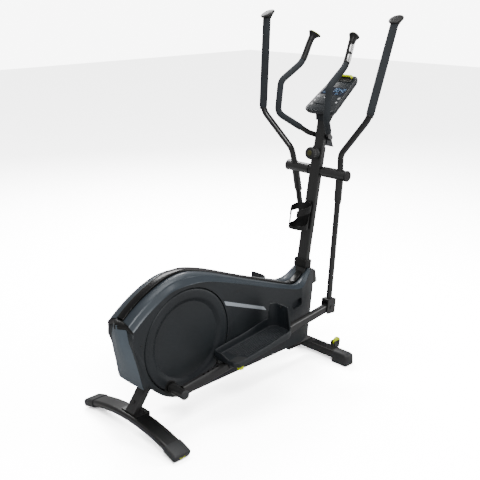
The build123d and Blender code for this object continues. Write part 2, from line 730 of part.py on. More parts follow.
def pedal(side):
    """Footplate with raised rims, ribs and a tall toe guard, on a saddle over the arm."""
    plane, _ = arm_plane(side)
    y0, y1 = pedal_inner_y, pedal_inner_y + pedal_width
    rear_s = pedal_front_s - pedal_length
    outline = make_face(Polyline((rear_s, y0), (pedal_front_s - 26, y0), (pedal_front_s, y0 + 42),
                                 (pedal_front_s - 6, y1 - 34), (pedal_front_s - 60, y1), (rear_s + 18, y1),
                                 (rear_s, y1 - 22), close=True))
    outline = fillet(outline.vertices(), 9)
    tray = Pos(0, 0, pedal_floor_n) * extrude(outline, 42)
    inner = offset(outline, -6)
    tray -= Pos(0, 0, pedal_floor_n + 12) * extrude(inner, 60)
    for i in range(9):
        y = y0 + 22 + i * 12.5
        rib_z = pedal_floor_n + 11.5
        tray += block(rear_s + 60, pedal_front_s - 44, y - 2, y + 2, rib_z, rib_z + 3)
    saddle = block(rear_s + 40, pedal_front_s - 60, arm_y - 21, arm_y + 21, -8, pedal_floor_n + 2)
    saddle -= block(rear_s, pedal_front_s, arm_y - 15.6, arm_y + 15.6, -30, 22.6)
    guard_ring = extrude(outline - offset(outline, -6), guard_top_n - pedal_floor_n)
    guard_ring = Pos(0, 0, pedal_floor_n) * guard_ring
    guard_s = pedal_front_s - 48
    guard = guard_ring & block(guard_s, pedal_front_s + 5, y0 - 5, y1 - 40, pedal_floor_n, guard_top_n)
    body = tray + guard + saddle
    if side < 0:
        body = mirror(body, Plane.XZ)
    return (plane * body).solids().sort_by(SortBy.VOLUME)[-1]


def pedal_knob(side):
    """Locking knob that hangs below the tray's outer rear corner."""
    plane, _ = arm_plane(side)
    s = pedal_front_s - pedal_length + knob_inset
    y = side * (arm_y + knob_offset_y)
    knob = Pos(s, y, pedal_floor_n - 15) * Cylinder(15, 14)
    knob = knob.fillet(3, knob.edges())
    stem = Pos(s, y, pedal_floor_n - 4.4) * Cylinder(5, 7.8)
    return plane * (knob + stem)


# --- crank and drive -----------------------------------------------------------------------------
def crank_disc(side):
    """Dished crank cover, a ring round a recessed floor, pierced by the crank boss."""
    f, d = disc_face_y, dish_floor_y
    r = disc_radius
    profile = ((34, d), (158, d), (186, f - 3), (192, f), (r - 3, f), (r, f - 3), (r, f - 8), (188, f - 8),
               (162, d - 5), (34, d - 5))
    face = make_face(Polyline(*[(x, y, 0) for x, y in profile], close=True))
    disc = revolve(face, Axis.Y)
    disc = Pos(at(disc_d), 0, disc_z) * disc
    if side < 0:
        disc = mirror(disc, Plane.XZ)
    px, pz = crank_point(side)
    return disc - rod_y(px, pz, boss_radius, side * 40, side * 110)


def crank_axle():
    """Axle with a crank arm and boss welded to each end."""
    x, z = at(disc_d), disc_z
    body = rod_y(x, z, axle_radius, -dish_floor_y - 2, dish_floor_y + 2)
    for _, side in SIDES:
        px, pz = crank_point(side)
        inner, outer = sorted((side * 52, side * 60.5))
        along = Vector(px - x, 0, pz - z)
        bar = Plane(origin=(x, 0, z), x_dir=along, z_dir=(0, 1, 0))
        arm = extrude(bar.offset(inner) * Pos(crank_radius / 2, 0) * Rectangle(crank_radius, 26), outer - inner)
        hub = rod_y(x, z, 30, inner, outer)
        boss = rod_y(px, pz, boss_radius, side * 52, side * boss_face_y)
        body += arm + hub + boss
        body += rod_y(x, z, 33.5, side * 60, side * (dish_floor_y + 2))
    return body


def crank_pulley():
    pulley = ring_y(at(disc_d), disc_z, pulley_radius, axle_radius, -belt_half - 1, belt_half + 1)
    web = Compound(children=[rod_y(at(disc_d) + 84 * math.cos(a), disc_z + 84 * math.sin(a), 27, -20, 20)
                             for a in [math.radians(60 * i) for i in range(6)]])
    return pulley - web


def crank_bearings():
    """Two ball bearings in their housings on the crank post."""
    rings = []
    for _, side in SIDES:
        rings.append(ring_y(at(disc_d), disc_z, 32.5, axle_radius + run_gap, side * 34, side * 50))
    return Compound(children=rings)


def flywheel():
    x, z = at(flywheel_d), flywheel_z
    disc = ring_y(x, z, flywheel_radius, 6 + run_gap, 12, 30)
    hub = ring_y(x, z, drive_radius, 6 + run_gap, -belt_half - 1, 12)
    rim = ring_y(x, z, flywheel_radius - 14, 34, 8, 18)
    return disc + hub - (rim & block(x - 200, x + 200, 8, 17, z - 200, z + 200))


def flywheel_axle():
    return rod_y(at(flywheel_d), flywheel_z, 6.0, -52, 52)


def drive_belt():
    """Flat belt round the crank pulley and the flywheel's drive pulley."""
    big = Vector(at(disc_d), 0, disc_z)
    small = Vector(at(flywheel_d), 0, flywheel_z)

    def hull(extra):
        r1 = pulley_radius + extra
        r2 = drive_radius + extra
        span = (small - big).length
        tilt = math.atan2(small.Z - big.Z, small.X - big.X)
        lean = math.acos((r1 - r2) / span)
        corners = []
        for centre, r, sign in ((big, r1, 1), (small, r2, 1), (small, r2, -1), (big, r1, -1)):
            a = tilt + sign * lean
            corners.append((centre.X + r * math.cos(a), centre.Z + r * math.sin(a)))
        web = prism(corners, -belt_half, belt_half)
        web += rod_y(big.X, big.Z, r1, -belt_half, belt_half)
        return web + rod_y(small.X, small.Z, r2, -belt_half, belt_half)

    return hull(belt_gap + belt_thick) - hull(belt_gap)


def magnet_yoke():
    """Curved brake shoe with magnets astride the flywheel's rim, hinged above it."""
    x, z = at(flywheel_d), flywheel_z
    shoe = ring_y(x, z, flywheel_radius + 14, flywheel_radius + 4, 4, 38)
    shoe += ring_y(x, z, flywheel_radius + 14, flywheel_radius - 22, 4, 9.4)
    shoe += ring_y(x, z, flywheel_radius + 14, flywheel_radius - 22, 32.6, 38)
    keep = prism(((x, z), (x - 60, z + 200), (x + 60, z + 200)), 0, 42)
    px, pz = yoke_pivot()
    rim_z = z + flywheel_radius
    bar = prism(((px, pz - 9), (px, pz + 9), (x - 20, rim_z + 12), (x - 36, rim_z - 10)), 32.6, 38)
    boss = rod_y(px, pz, 10, 32.6, 38)
    return (shoe & keep) + bar + boss - rod_y(px, pz, 4 + run_gap, 30, 41)


# --- fasteners -----------------------------------------------------------------------------------
def domed(origin, direction, radius, height):
    plane = Plane(origin=origin, z_dir=direction)
    head = extrude(plane * Circle(radius), height)
    return head.fillet(height * 0.6, head.edges().sort_by(lambda e: plane.to_local_coords(e.center()).Z)[-1:])


def fasteners():
    heads = []
    for y in (-40, 40):
        heads.append(domed((at(29), y, 96.1), (0, 0, 1), 8, 9))
    for d, z in ((-6, 420), (523, 506), (457, 316), (800, 200)):
        for _, side in SIDES:
            heads.append(domed((at(d), side * (casing_half + 0.1), z), (0, side, 0), 4.5, 1.6))
    up = Vector(column_head[0] - column_foot[0], 0, column_head[1] - column_foot[1]).normalized()
    across = Vector(up.Z, 0, -up.X)
    foot = Vector(at(column_foot[0]), 0, column_foot[1])
    for s in (-1, 1):
        p = foot + up * 46 + across * (s * (column_section[1] / 2 + 0.2))
        heads.append(domed(tuple(p), tuple(across * s), 7, 6))
    front = mast_plane(mast_join_z - 14)
    p = front.from_local_coords((mast_section[0] / 2 + 0.2, 0, 0))
    heads.append(domed(tuple(p), tuple(front.x_dir), 6, 5))
    return Compound(children=heads)


# --- write every node ----------------------------------------------------------------------------
def main():
    nodes = {
        "rear_stabilizer_tube": rear_stabilizer_tube(), "rear_end_caps": rear_end_caps(),
        "rear_saddle": rear_saddle(), "rear_column": rear_column(), "main_beam": main_beam(),
        "front_stabilizer_tube": front_stabilizer_tube(), "front_end_caps": front_end_caps(),
        "casing_top_strip": top_strip(), "casing_rear_cover": rear_cover(), "side_strips": side_strips(),
        "mast_collar": mast_collar(), "mast_lower": mast_lower(), "mast_upper": mast_upper(),
        "mast_knob": mast_knob(), "console_housing": console_housing(), "console_face": console_face(),
        "tablet_rest": tablet_rest(), "fixed_handlebar": fixed_handlebar(), "handlebar_foams": handlebar_foams(),
        "pulse_sensors": pulse_sensors(), "tip_caps": tip_caps(), "clamp_hood": clamp_hood(),
        "bottle_cage": bottle_cage(), "pivot_axle": pivot_axle(), "crank_axle": crank_axle(),
        "crank_pulley": crank_pulley(), "crank_bearings": crank_bearings(), "flywheel": flywheel(),
        "flywheel_axle": flywheel_axle(), "drive_belt": drive_belt(), "magnet_yoke": magnet_yoke(),
        "fasteners": fasteners(),
    }
    sided = {
        "casing": casing_side, "shoulder_band": shoulder_band, "level_foot": level_foot,
        "transport_wheel": transport_wheel, "tip_button": tip_button, "lever_hub": lever_hub,
        "lever_handle": lever_handle, "lever_grip": lever_grip, "lever_tube": lever_tube,
        "pedal_arm": pedal_arm, "crank_pin": crank_pin, "pedal": pedal, "pedal_knob": pedal_knob,
        "crank_disc": crank_disc,
    }
    for name, make in sided.items():
        for label, side in SIDES:
            nodes[name + "_" + label] = make(side)
    os.makedirs("parts", exist_ok=True)
    for name, shape in nodes.items():
        export_step(shape, "parts/" + name + ".step")
    print(len(nodes), "nodes")


main()
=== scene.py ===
"""Elliptical trainer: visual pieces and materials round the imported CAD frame. Lengths are millimetres."""
import json
import math

import bmesh
import bpy
from mathutils import Matrix, Vector

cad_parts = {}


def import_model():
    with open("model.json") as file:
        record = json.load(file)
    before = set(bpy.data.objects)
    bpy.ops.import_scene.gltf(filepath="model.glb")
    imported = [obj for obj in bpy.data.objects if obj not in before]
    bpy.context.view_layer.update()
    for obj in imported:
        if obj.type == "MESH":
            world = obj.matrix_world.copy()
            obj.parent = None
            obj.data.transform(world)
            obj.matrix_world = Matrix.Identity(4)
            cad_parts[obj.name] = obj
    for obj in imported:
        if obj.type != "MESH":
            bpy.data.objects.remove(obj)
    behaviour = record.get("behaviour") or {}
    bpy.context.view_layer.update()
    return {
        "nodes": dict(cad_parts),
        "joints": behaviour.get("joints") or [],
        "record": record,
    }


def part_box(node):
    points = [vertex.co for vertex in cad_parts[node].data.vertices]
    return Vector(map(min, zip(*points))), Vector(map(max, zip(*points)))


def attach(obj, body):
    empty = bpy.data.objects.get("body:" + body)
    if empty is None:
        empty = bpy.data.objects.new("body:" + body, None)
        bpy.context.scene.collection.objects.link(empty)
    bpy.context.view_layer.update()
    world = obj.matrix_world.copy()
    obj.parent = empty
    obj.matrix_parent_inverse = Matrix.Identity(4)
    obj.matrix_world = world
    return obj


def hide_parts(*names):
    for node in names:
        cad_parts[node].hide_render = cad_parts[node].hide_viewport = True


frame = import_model()
JOINTS = {j["name"]: j for j in frame["joints"]}
MM = 0.001
ORIGIN_D = 638.55                 # the frame's origin, measured forward from the rear stabilizer
SIDES = (("right", -1), ("left", 1))
FLOOR_HALF = 14.0                 # half the studio floor's width, in metres
SKY_SEEN, SKY_FELT = 8.0, 0.42    # how white the surroundings look, and how much light they give
PAPER_SEEN, PAPER_FELT = 11.0, 0.5    # how white the paper looks, and how much light it throws back


# --- camera, floor, light ---
def put(name, data):
    """An object of this name and data, linked into the scene."""
    obj = bpy.data.objects.new(name, data)
    bpy.context.scene.collection.objects.link(obj)
    return obj


def make_camera():
    azimuth, elevation, roll = (math.radians(v) for v in (44.134, 18.080, -0.207))
    look = Vector((math.sin(azimuth) * math.cos(elevation), math.cos(azimuth) * math.cos(elevation),
                   -math.sin(elevation)))
    right = Vector((math.cos(azimuth), -math.sin(azimuth), 0))
    up = right.cross(look)
    axis_x = right * math.cos(roll) + up * math.sin(roll)
    axis_y = up * math.cos(roll) - right * math.sin(roll)
    data = bpy.data.cameras.new("camera")
    data.lens = 58.61
    data.sensor_width = 36
    data.clip_end = 60
    camera = put("camera", data)
    matrix = Matrix((axis_x, axis_y, -look)).transposed().to_4x4()
    matrix.translation = Vector((-2.31785, -2.3695, 1.7765))
    camera.matrix_world = matrix
    bpy.context.scene.camera = camera


def area_light(name, place, target, size, power, colour=(1, 1, 1)):
    data = bpy.data.lights.new(name, "AREA")
    data.shape = "RECTANGLE"
    data.size, data.size_y = size
    data.energy = power
    data.color = colour
    lamp = put(name, data)
    lamp.location = place
    lamp.rotation_euler = (Vector(target) - Vector(place)).to_track_quat("-Z", "Y").to_euler()


def seen_or_felt(tree, seen, felt):
    """A grey that is bright where the lens sees it and modest where it lights the object."""
    path = tree.nodes.new("ShaderNodeLightPath")
    mix = tree.nodes.new("ShaderNodeMixRGB")
    tree.links.new(path.outputs["Is Camera Ray"], mix.inputs["Fac"])
    mix.inputs["Color1"].default_value = (felt, felt, felt, 1)
    mix.inputs["Color2"].default_value = (seen, seen, seen, 1)
    return mix.outputs["Color"]


def studio_paper():
    material = bpy.data.materials.new("studio_paper")
    material.use_nodes = True
    tree = material.node_tree
    tree.nodes.remove(tree.nodes["Principled BSDF"])
    shader = tree.nodes.new("ShaderNodeBsdfDiffuse")
    tree.links.new(seen_or_felt(tree, PAPER_SEEN, PAPER_FELT), shader.inputs["Color"])
    tree.links.new(shader.outputs["BSDF"], tree.nodes["Material Output"].inputs["Surface"])
    return material


def make_studio():
    mesh = bpy.data.meshes.new("studio_floor")
    corners = [(x * FLOOR_HALF, y * FLOOR_HALF, -0.001) for x, y in ((-1, -1), (1, -1), (1, 1), (-1, 1))]
    mesh.from_pydata(corners, [], [(0, 1, 2, 3)])
    floor = put("studio_floor", mesh)
    mesh.materials.append(studio_paper())
    world = bpy.data.worlds.new("studio")
    world.use_nodes = True
    backdrop = world.node_tree.nodes["Background"]
    world.node_tree.links.new(seen_or_felt(world.node_tree, SKY_SEEN, SKY_FELT), backdrop.inputs["Color"])
    backdrop.inputs["Strength"].default_value = 1.0
    bpy.context.scene.world = world
    centre = (0, 0, 0.8)
    area_light("key", (-2.2, -2.8, 3.6), centre, (1.8, 1.2), 120)
    area_light("rim", (1.6, 2.8, 3.2), centre, (2.4, 1.0), 110)
    area_light("top", (0.2, 0.2, 3.9), centre, (2.6, 1.4), 60)
    area_light("side", (2.6, -2.6, 1.6), centre, (0.9, 2.2), 45)


# --- materials ---
def surface(name, tones, rough, slow, fine, relief, metallic=0.0, coat=0.0, wear=0.0, streak=1.0, glow=0.0,
            shine=0.5):
    """Procedural finish: two tones over a slow noise, roughness and bump from a fine grain, paler worn edges.

    rough is the span of roughness, slow and fine the two noise scales, relief the bump's depth in metres.
    """
    material = bpy.data.materials.new(name)
    material.use_nodes = True
    tree = material.node_tree
    shader = tree.nodes["Principled BSDF"]
    shader.inputs["Metallic"].default_value = metallic
    shader.inputs["Coat Weight"].default_value = coat
    shader.inputs["Specular IOR Level"].default_value = shine
    shader.inputs["Coat Roughness"].default_value = 0.12
    place = tree.nodes.new("ShaderNodeTexCoord")
    stretch = tree.nodes.new("ShaderNodeMapping")
    stretch.inputs["Scale"].default_value = (1, streak, 1)
    tree.links.new(place.outputs["Object"], stretch.inputs["Vector"])

    def noise(scale, detail):
        node = tree.nodes.new("ShaderNodeTexNoise")
        node.inputs["Scale"].default_value = scale
        node.inputs["Detail"].default_value = detail
        tree.links.new(stretch.outputs["Vector"], node.inputs["Vector"])
        return node.outputs["Fac"]

    broad = noise(slow, 3)
    grain = noise(fine, 4)
    ramp = tree.nodes.new("ShaderNodeValToRGB")
    ramp.color_ramp.elements[0].position = 0.32
    ramp.color_ramp.elements[1].position = 0.68
    ramp.color_ramp.elements[0].color = (*tones[0], 1)
    ramp.color_ramp.elements[1].color = (*tones[1], 1)
    tree.links.new(broad, ramp.inputs["Fac"])
    colour = ramp.outputs["Color"]
    if wear:
        geometry = tree.nodes.new("ShaderNodeNewGeometry")
        edge = tree.nodes.new("ShaderNodeValToRGB")
        edge.color_ramp.elements[0].position = 0.54
        edge.color_ramp.elements[1].position = 0.66
        tree.links.new(geometry.outputs["Pointiness"], edge.inputs["Fac"])
        blend = tree.nodes.new("ShaderNodeMixRGB")
        blend.blend_type = "ADD"
        blend.inputs["Color2"].default_value = (wear, wear, wear, 1)
        tree.links.new(edge.outputs["Color"], blend.inputs["Fac"])
        tree.links.new(colour, blend.inputs["Color1"])
        colour = blend.outputs["Color"]
    tree.links.new(colour, shader.inputs["Base Color"])
    if glow:
        shader.inputs["Emission Color"].default_value = (*tones[1], 1)
        shader.inputs["Emission Strength"].default_value = glow
    spread = tree.nodes.new("ShaderNodeMapRange")
    spread.inputs["From Min"].default_value = 0.3
    spread.inputs["From Max"].default_value = 0.7
    spread.inputs["To Min"].default_value = rough[0]
    spread.inputs["To Max"].default_value = rough[1]
    tree.links.new(grain, spread.inputs["Value"])
    tree.links.new(spread.outputs["Result"], shader.inputs["Roughness"])
    bump = tree.nodes.new("ShaderNodeBump")
    bump.inputs["Strength"].default_value = 0.6
    bump.inputs["Distance"].default_value = relief
    tree.links.new(grain, bump.inputs["Height"])
    tree.links.new(bump.outputs["Normal"], shader.inputs["Normal"])
    return material


def grey(value, tint=0.0):
    return (value, value * (1 + tint * 0.5), value * (1 + tint))


SLOT_FINISHES = {
    "black_paint": ((grey(0.006), grey(0.009)), (0.28, 0.38), 9, 900, 0.00010, {"coat": 0.2, "wear": 0.012}),
    "charcoal_plastic": ((grey(0.007, 0.7), grey(0.0095, 0.7)), (0.44, 0.56), 7, 1600, 0.00016,
                         {"wear": 0.008}),
    "black_plastic": ((grey(0.006), grey(0.009)), (0.4, 0.5), 8, 1400, 0.00012,
                      {"wear": 0.004, "shine": 0.3}),
    "gloss_black": ((grey(0.003), grey(0.005)), (0.20, 0.26), 5, 500, 0.00002, {"shine": 0.22}),
    "anthracite": ((grey(0.026, 0.7), grey(0.034, 0.7)), (0.36, 0.42), 6, 2600, 0.00003,
                   {"metallic": 0.2, "coat": 0.1}),
    "cover_grey": ((grey(0.078, 0.6), grey(0.094, 0.6)), (0.42, 0.52), 6, 1500, 0.00010, {"wear": 0.03}),
    "trim_silver": ((grey(0.34, 0.2), grey(0.40, 0.2)), (0.38, 0.46), 8, 900, 0.00003, {"metallic": 0.2}),
    "foam": ((grey(0.014, 0.5), grey(0.020, 0.5)), (0.72, 0.92), 14, 700, 0.0006, {}),
    "yellow": (((0.66, 0.80, 0.010), (0.78, 0.92, 0.014)), (0.26, 0.36), 12, 900, 0.00005, {"wear": 0.02}),
    "bolt_steel": ((grey(0.03), grey(0.045)), (0.3, 0.4), 40, 900, 0.00003, {"metallic": 0.6}),
    "steel": ((grey(0.05), grey(0.08)), (0.24, 0.40), 20, 600, 0.00005, {"metallic": 1.0, "streak": 8}),
    "screen": ((grey(0.006, 0.8), grey(0.008, 0.8)), (0.34, 0.4), 4, 300, 0.00001, {"shine": 0.15}),
    "belt_rubber": ((grey(0.010), grey(0.016)), (0.6, 0.8), 20, 500, 0.0002, {}),
    "knob_brass": ((grey(0.010), grey(0.014)), (0.38, 0.5), 12, 1200, 0.0001, {"wear": 0.02}),
}
EXTRA_FINISHES = {
    "brass": (((0.05, 0.05, 0.018), (0.075, 0.07, 0.025)), (0.3, 0.42), 30, 900, 0.00005, {"metallic": 0.3}),
    "display": (((0.004, 0.006, 0.014), (0.006, 0.009, 0.02)), (0.05, 0.09), 5, 200, 0.00001, {}),
    "digit": (((0.05, 0.13, 0.26), (0.07, 0.17, 0.32)), (0.3, 0.4), 10, 300, 0.00001, {"glow": 0.6}),
    "plate": ((grey(0.55), grey(0.66)), (0.22, 0.32), 40, 900, 0.00003, {"metallic": 0.7}),
    "print_white": (((0.6, 0.6, 0.62), (0.72, 0.72, 0.74)), (0.4, 0.5), 10, 500, 0.00001, {}),
    "cap_grey": ((grey(0.020, 0.1), grey(0.026, 0.1)), (0.42, 0.55), 9, 1500, 0.00014, {"wear": 0.02}),
}


def make_materials(finishes):
    return {name: surface(name, *finish[:-1], **finish[-1]) for name, finish in finishes.items()}


# --- mesh helpers ---
def at(d):
    return d - ORIGIN_D


def local(origin, x_axis, z_axis):
    """Maps millimetres along the three axes of a frame at origin (metres) to a point in metres."""
    z_axis = Vector(z_axis).normalized()
    x_axis = Vector(x_axis)
    x_axis = (x_axis - z_axis * x_axis.dot(z_axis)).normalized()
    y_axis = z_axis.cross(x_axis)
    origin = Vector(origin)
    return lambda a, b, c: origin + (x_axis * a + y_axis * b + z_axis * c) * MM


def about(origin, axis):
    axis = Vector(axis).normalized()
    side = Vector((0, 1, 0)) if abs(axis.y) < 0.9 else Vector((1, 0, 0))
    return local(origin, side, axis)


def world(x, y, z):
    return Vector((x, y, z)) * MM


def grid(bm, rows, wrap_rows=False, wrap_columns=False, caps=False):
    verts = [[bm.verts.new(p) for p in row] for row in rows]
    columns = len(rows[0])
    for i in range(len(rows) - (0 if wrap_rows else 1)):
        below, above = verts[i], verts[(i + 1) % len(rows)]
        for j in range(columns - (0 if wrap_columns else 1)):
            k = (j + 1) % columns
            bm.faces.new((below[j], below[k], above[k], above[j]))
    if caps:
        bm.faces.new(verts[0])
        bm.faces.new(list(reversed(verts[-1])))
    return verts


def circle(count):
    angles = (2 * math.pi * i / count for i in range(count))
    return [(math.cos(a), math.sin(a)) for a in angles]


def lathe(bm, profile, place, count=72):
    """Turn (radius, height) points about the frame's z axis; the first and last rings are capped."""
    rows = [[place(r * c, r * s, h) for c, s in circle(count)] for r, h in profile]
    grid(bm, rows, wrap_columns=True, caps=True)


def arc_path(points, radii, step=6.0):
    """Straight runs joined by tangent arcs, as a list of closely spaced points."""
    points = [Vector(p) for p in points]
    path = [points[0]]
    for before, corner, after, radius in zip(points, points[1:], points[2:], radii):
        a = (before - corner).normalized()
        b = (after - corner).normalized()
        half = a.angle(b) / 2
        reach = radius / math.tan(half)
        centre = corner + (a + b).normalized() * (radius / math.sin(half))
        start, end = corner + a * reach - centre, corner + b * reach - centre
        turn = start.angle(end)
        count = max(4, int(turn * radius / step))
        axis = start.cross(end).normalized()
        path += [centre + Matrix.Rotation(turn * i / count, 3, axis) @ start for i in range(count + 1)]
    return path + [points[-1]]


def resample(path, start, end, step=6.0):
    """The part of a path between two distances along it, evenly spaced."""
    lengths = [0.0]
    for p, q in zip(path, path[1:]):
        lengths.append(lengths[-1] + (q - p).length)
    end = min(end, lengths[-1])
    count = max(2, int((end - start) / step))
    found = []
    k = 0
    for i in range(count + 1):
        s = start + (end - start) * i / count
        while k < len(path) - 2 and lengths[k + 1] < s:
            k += 1
        t = (s - lengths[k]) / max(lengths[k + 1] - lengths[k], 1e-6)
        found.append(path[k].lerp(path[k + 1], t))
    return found


def path_length(path):
    return sum((q - p).length for p, q in zip(path, path[1:]))


def sleeve(bm, path, radius, count=36):
    """Tube along a path (millimetres); radius(t) gives the outer radius at a fraction of the way."""
    tangent = (path[1] - path[0]).normalized()
    normal = tangent.orthogonal().normalized()
    rings = []
    for i, p in enumerate(path):
        ahead = path[min(i + 1, len(path) - 1)] - path[max(i - 1, 0)]
        new = ahead.normalized()
        normal = (tangent.rotation_difference(new) @ normal).normalized()
        normal = (normal - new * normal.dot(new)).normalized()
        tangent = new
        binormal = tangent.cross(normal)
        r = radius(i / (len(path) - 1))
        rings.append([(p + normal * (r * c) + binormal * (r * s)) * MM for c, s in circle(count)])
    grid(bm, rings, wrap_columns=True, caps=True)


def slab(bm, outline, low, high, place):
    """Prism of a flat outline (a, b) between two heights of a frame."""
    rows = [[place(a, b, h) for a, b in outline] for h in (low, high)]
    grid(bm, rows, wrap_columns=True, caps=True)


def box_slab(bm, a0, a1, b0, b1, low, high, place):
    slab(bm, ((a0, b0), (a1, b0), (a1, b1), (a0, b1)), low, high, place)


def round_corners(points, radii, count=6):
    """Closed outline whose corners are arcs."""
    if not isinstance(radii, (list, tuple)):
        radii = [radii] * len(points)
    outline = []
    for i, radius in enumerate(radii):
        corner = Vector(points[i])
        a = (Vector(points[i - 1]) - corner).normalized()
        b = (Vector(points[(i + 1) % len(points)]) - corner).normalized()
        half = a.angle(b) / 2
        centre = corner + (a + b).normalized() * (radius / math.sin(half))
        start = corner + a * (radius / math.tan(half)) - centre
        end = corner + b * (radius / math.tan(half)) - centre
        turn = start.angle_signed(end)
        for k in range(count + 1):
            c, s = math.cos(-turn * k / count), math.sin(-turn * k / count)
            outline.append((centre.x + c * start.x - s * start.y, centre.y + s * start.x + c * start.y))
    return outline


def rounded_box(half_a, half_b, radius, count):
    corners = ((-half_a, -half_b), (half_a, -half_b), (half_a, half_b), (-half_a, half_b))
    return round_corners(corners, radius, count)


def smooth_line(points, count):
    """Catmull-Rom curve through the points, as evenly spread samples."""
    points = [Vector(p) for p in points]
    ends = [points[0] * 2 - points[1]] + points + [points[-1] * 2 - points[-2]]
    found = []
    for i in range(count + 1):
        t = i / count * (len(points) - 1)
        k = min(int(t), len(points) - 2)
        t -= k
        a, b, c, d = ends[k:k + 4]
        found.append(((b * 2) + (c - a) * t + (a * 2 - b * 5 + c * 4 - d) * t**2
                      + (b * 3 - a - c * 3 + d) * t**3) * 0.5)
    return found


def piece(name, bm, body, slot, replaces=(), bevel=0.0, solid=0.0, smooth=35, even=True, material=None):
    """Finish a mesh as a piece that rides on a body and wears a slot's material."""
    bmesh.ops.recalc_face_normals(bm, faces=bm.faces)
    mesh = bpy.data.meshes.new(name)
    bm.to_mesh(mesh)
    bm.free()
    mesh.polygons.foreach_set("use_smooth", [True] * len(mesh.polygons))
    mesh.set_sharp_from_angle(angle=math.radians(smooth))
    mesh.materials.append(material or MATERIALS[slot])
    obj = put(name, mesh)
    if solid:
        thick = obj.modifiers.new("wall", "SOLIDIFY")
        thick.thickness = abs(solid) * MM
        thick.offset = -1 if solid > 0 else 1
        thick.use_even_offset = even
    if bevel:
        edge = obj.modifiers.new("edge", "BEVEL")
        edge.width = bevel * MM
        edge.segments = 3
        edge.limit_method = "ANGLE"
        edge.angle_limit = math.radians(smooth)
        edge.harden_normals = True
    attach(obj, body)
    if replaces:
        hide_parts(*replaces)
    return obj


def bolt(name, place, body, radius=7.0, height=5.0, slot="bolt_steel"):
    """Domed socket screw on its washer, standing on the frame's plane."""
    bm = bmesh.new()
    lathe(bm, ((radius * 1.35, 0), (radius * 1.35, 0.9), (radius, 1.0), (radius, height * 0.45),
               (radius * 0.86, height * 0.8), (radius * 0.55, height), (radius * 0.46, height * 0.98)),
          place, 32)
    socket = [(radius * 0.45 * c, radius * 0.45 * s) for c, s in circle(6)]
    slab(bm, socket, height * 0.3, height * 0.99, place)
    return piece(name, bm, body, slot, bevel=0.25)


def turned(name, profile, place, count, body, slot, replaces=(), **finish):
    bm = bmesh.new()
    lathe(bm, profile, place, count)
    return piece(name, bm, body, slot, replaces, **{"smooth": 50, **finish})


def lofted(name, rows, body, slot, replaces=(), **finish):
    """A closed form through outlines of equal length, capped at both ends."""
    bm = bmesh.new()
    grid(bm, rows, wrap_columns=True, caps=True)
    return piece(name, bm, body, slot, replaces, **finish)


def sheet(name, rows, body, slot, replaces=(), **finish):
    """An open form through rows of points of equal length."""
    bm = bmesh.new()
    grid(bm, rows)
    return piece(name, bm, body, slot, replaces, **finish)


def fluted(place, count, height, radius):
    """Outline round the frame's z axis; radius(angle) gives its reach."""
    angles = [2 * math.pi * i / count for i in range(count)]
    return [place(radius(a) * math.cos(a), radius(a) * math.sin(a), height) for a in angles]


def tube(name, path, radius, count, body, slot, replaces=(), smooth=50):
    bm = bmesh.new()
    sleeve(bm, path, radius, count)
    return piece(name, bm, body, slot, replaces, smooth=smooth)


# --- places taken from the frame ---
def spot(joint):
    return Vector(JOINTS[joint]["pos_m"])


def node_centre(node):
    low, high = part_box(node)
    return (Vector(low) + Vector(high)) / 2


def pin_axis(side_name, side):
    pin = node_centre(f"crank_pin_{side_name}")
    return about(Vector((pin.x, 0, pin.z)), (0, side, 0))


def arm_frame(side_name, side):
    """Arm axes from the crank pin: s along the arm, y outboard, n square to it."""
    pin = node_centre(f"crank_pin_{side_name}")
    along = Vector(JOINTS[f"pedal_{side_name}_slide"]["axis"]).normalized()
    square = Vector((-along.z, 0, along.x))
    origin = Vector((pin.x, 0, pin.z))
    return lambda s, y, n: origin + (along * s + Vector((0, side, 0)) * y + square * n) * MM


MAST_LEAN = math.radians(10.4)
MAST_FOOT = (970.0, 75.0)         # d and z where the mast's axis starts


def mast_frame(z):
    x = at(MAST_FOOT[0] + (z - MAST_FOOT[1]) * math.tan(MAST_LEAN))
    return local(world(x, 0, z), (1, 0, 0), (math.sin(MAST_LEAN), 0, math.cos(MAST_LEAN)))


DISC = spot("crank_spin")
MATERIALS = make_materials(SLOT_FINISHES)
EXTRAS = make_materials(EXTRA_FINISHES)
for part in frame["record"]["subparts"]:
    for entry in frame["nodes"][part["node"]].material_slots:
        entry.material = MATERIALS[part["material_slot"]]
make_camera()
make_studio()


# --- casing ---
CROWN = ((-44, 526), (0, 560), (65, 600), (149, 637), (219, 653), (290, 651), (387, 624), (472, 592),
         (590, 544), (717, 495), (866, 437), (944, 412), (994, 424), (1046, 468))
BAND_LOW = ((-44, 484), (17, 530), (85, 571), (163, 603), (262, 607), (365, 592), (528, 538), (705, 473),
            (850, 424), (930, 402), (985, 410), (1046, 456))
CASING_HALF = 84.0
DISC_D, DISC_Z = 233.8, 365.8
BELLY_RADIUS = 249.0
STRIP_HALF = 19.0
STRIP_RISE = 8.0
NOSE_D = 950.0
NOSE_END_D = 1081.0
NOSE_HALF = 40.0
DISC_GAP_RADIUS = 229.0


def casing_width(d):
    t = min(max((d - NOSE_D) / (NOSE_END_D - NOSE_D), 0), 1)
    return CASING_HALF + (NOSE_HALF - CASING_HALF) * t


def casing_outline():
    belly = [math.radians(262 - 4 * i) for i in range(13)]
    outline = [tuple(p) for p in smooth_line(BAND_LOW, 90)]
    outline += [(1080, 456), (1080, 356), (1028, 119), (300, 119)]
    outline += [(DISC_D + BELLY_RADIUS * math.cos(a), DISC_Z + BELLY_RADIUS * math.sin(a)) for a in belly]
    return outline + [(-48, 437)]


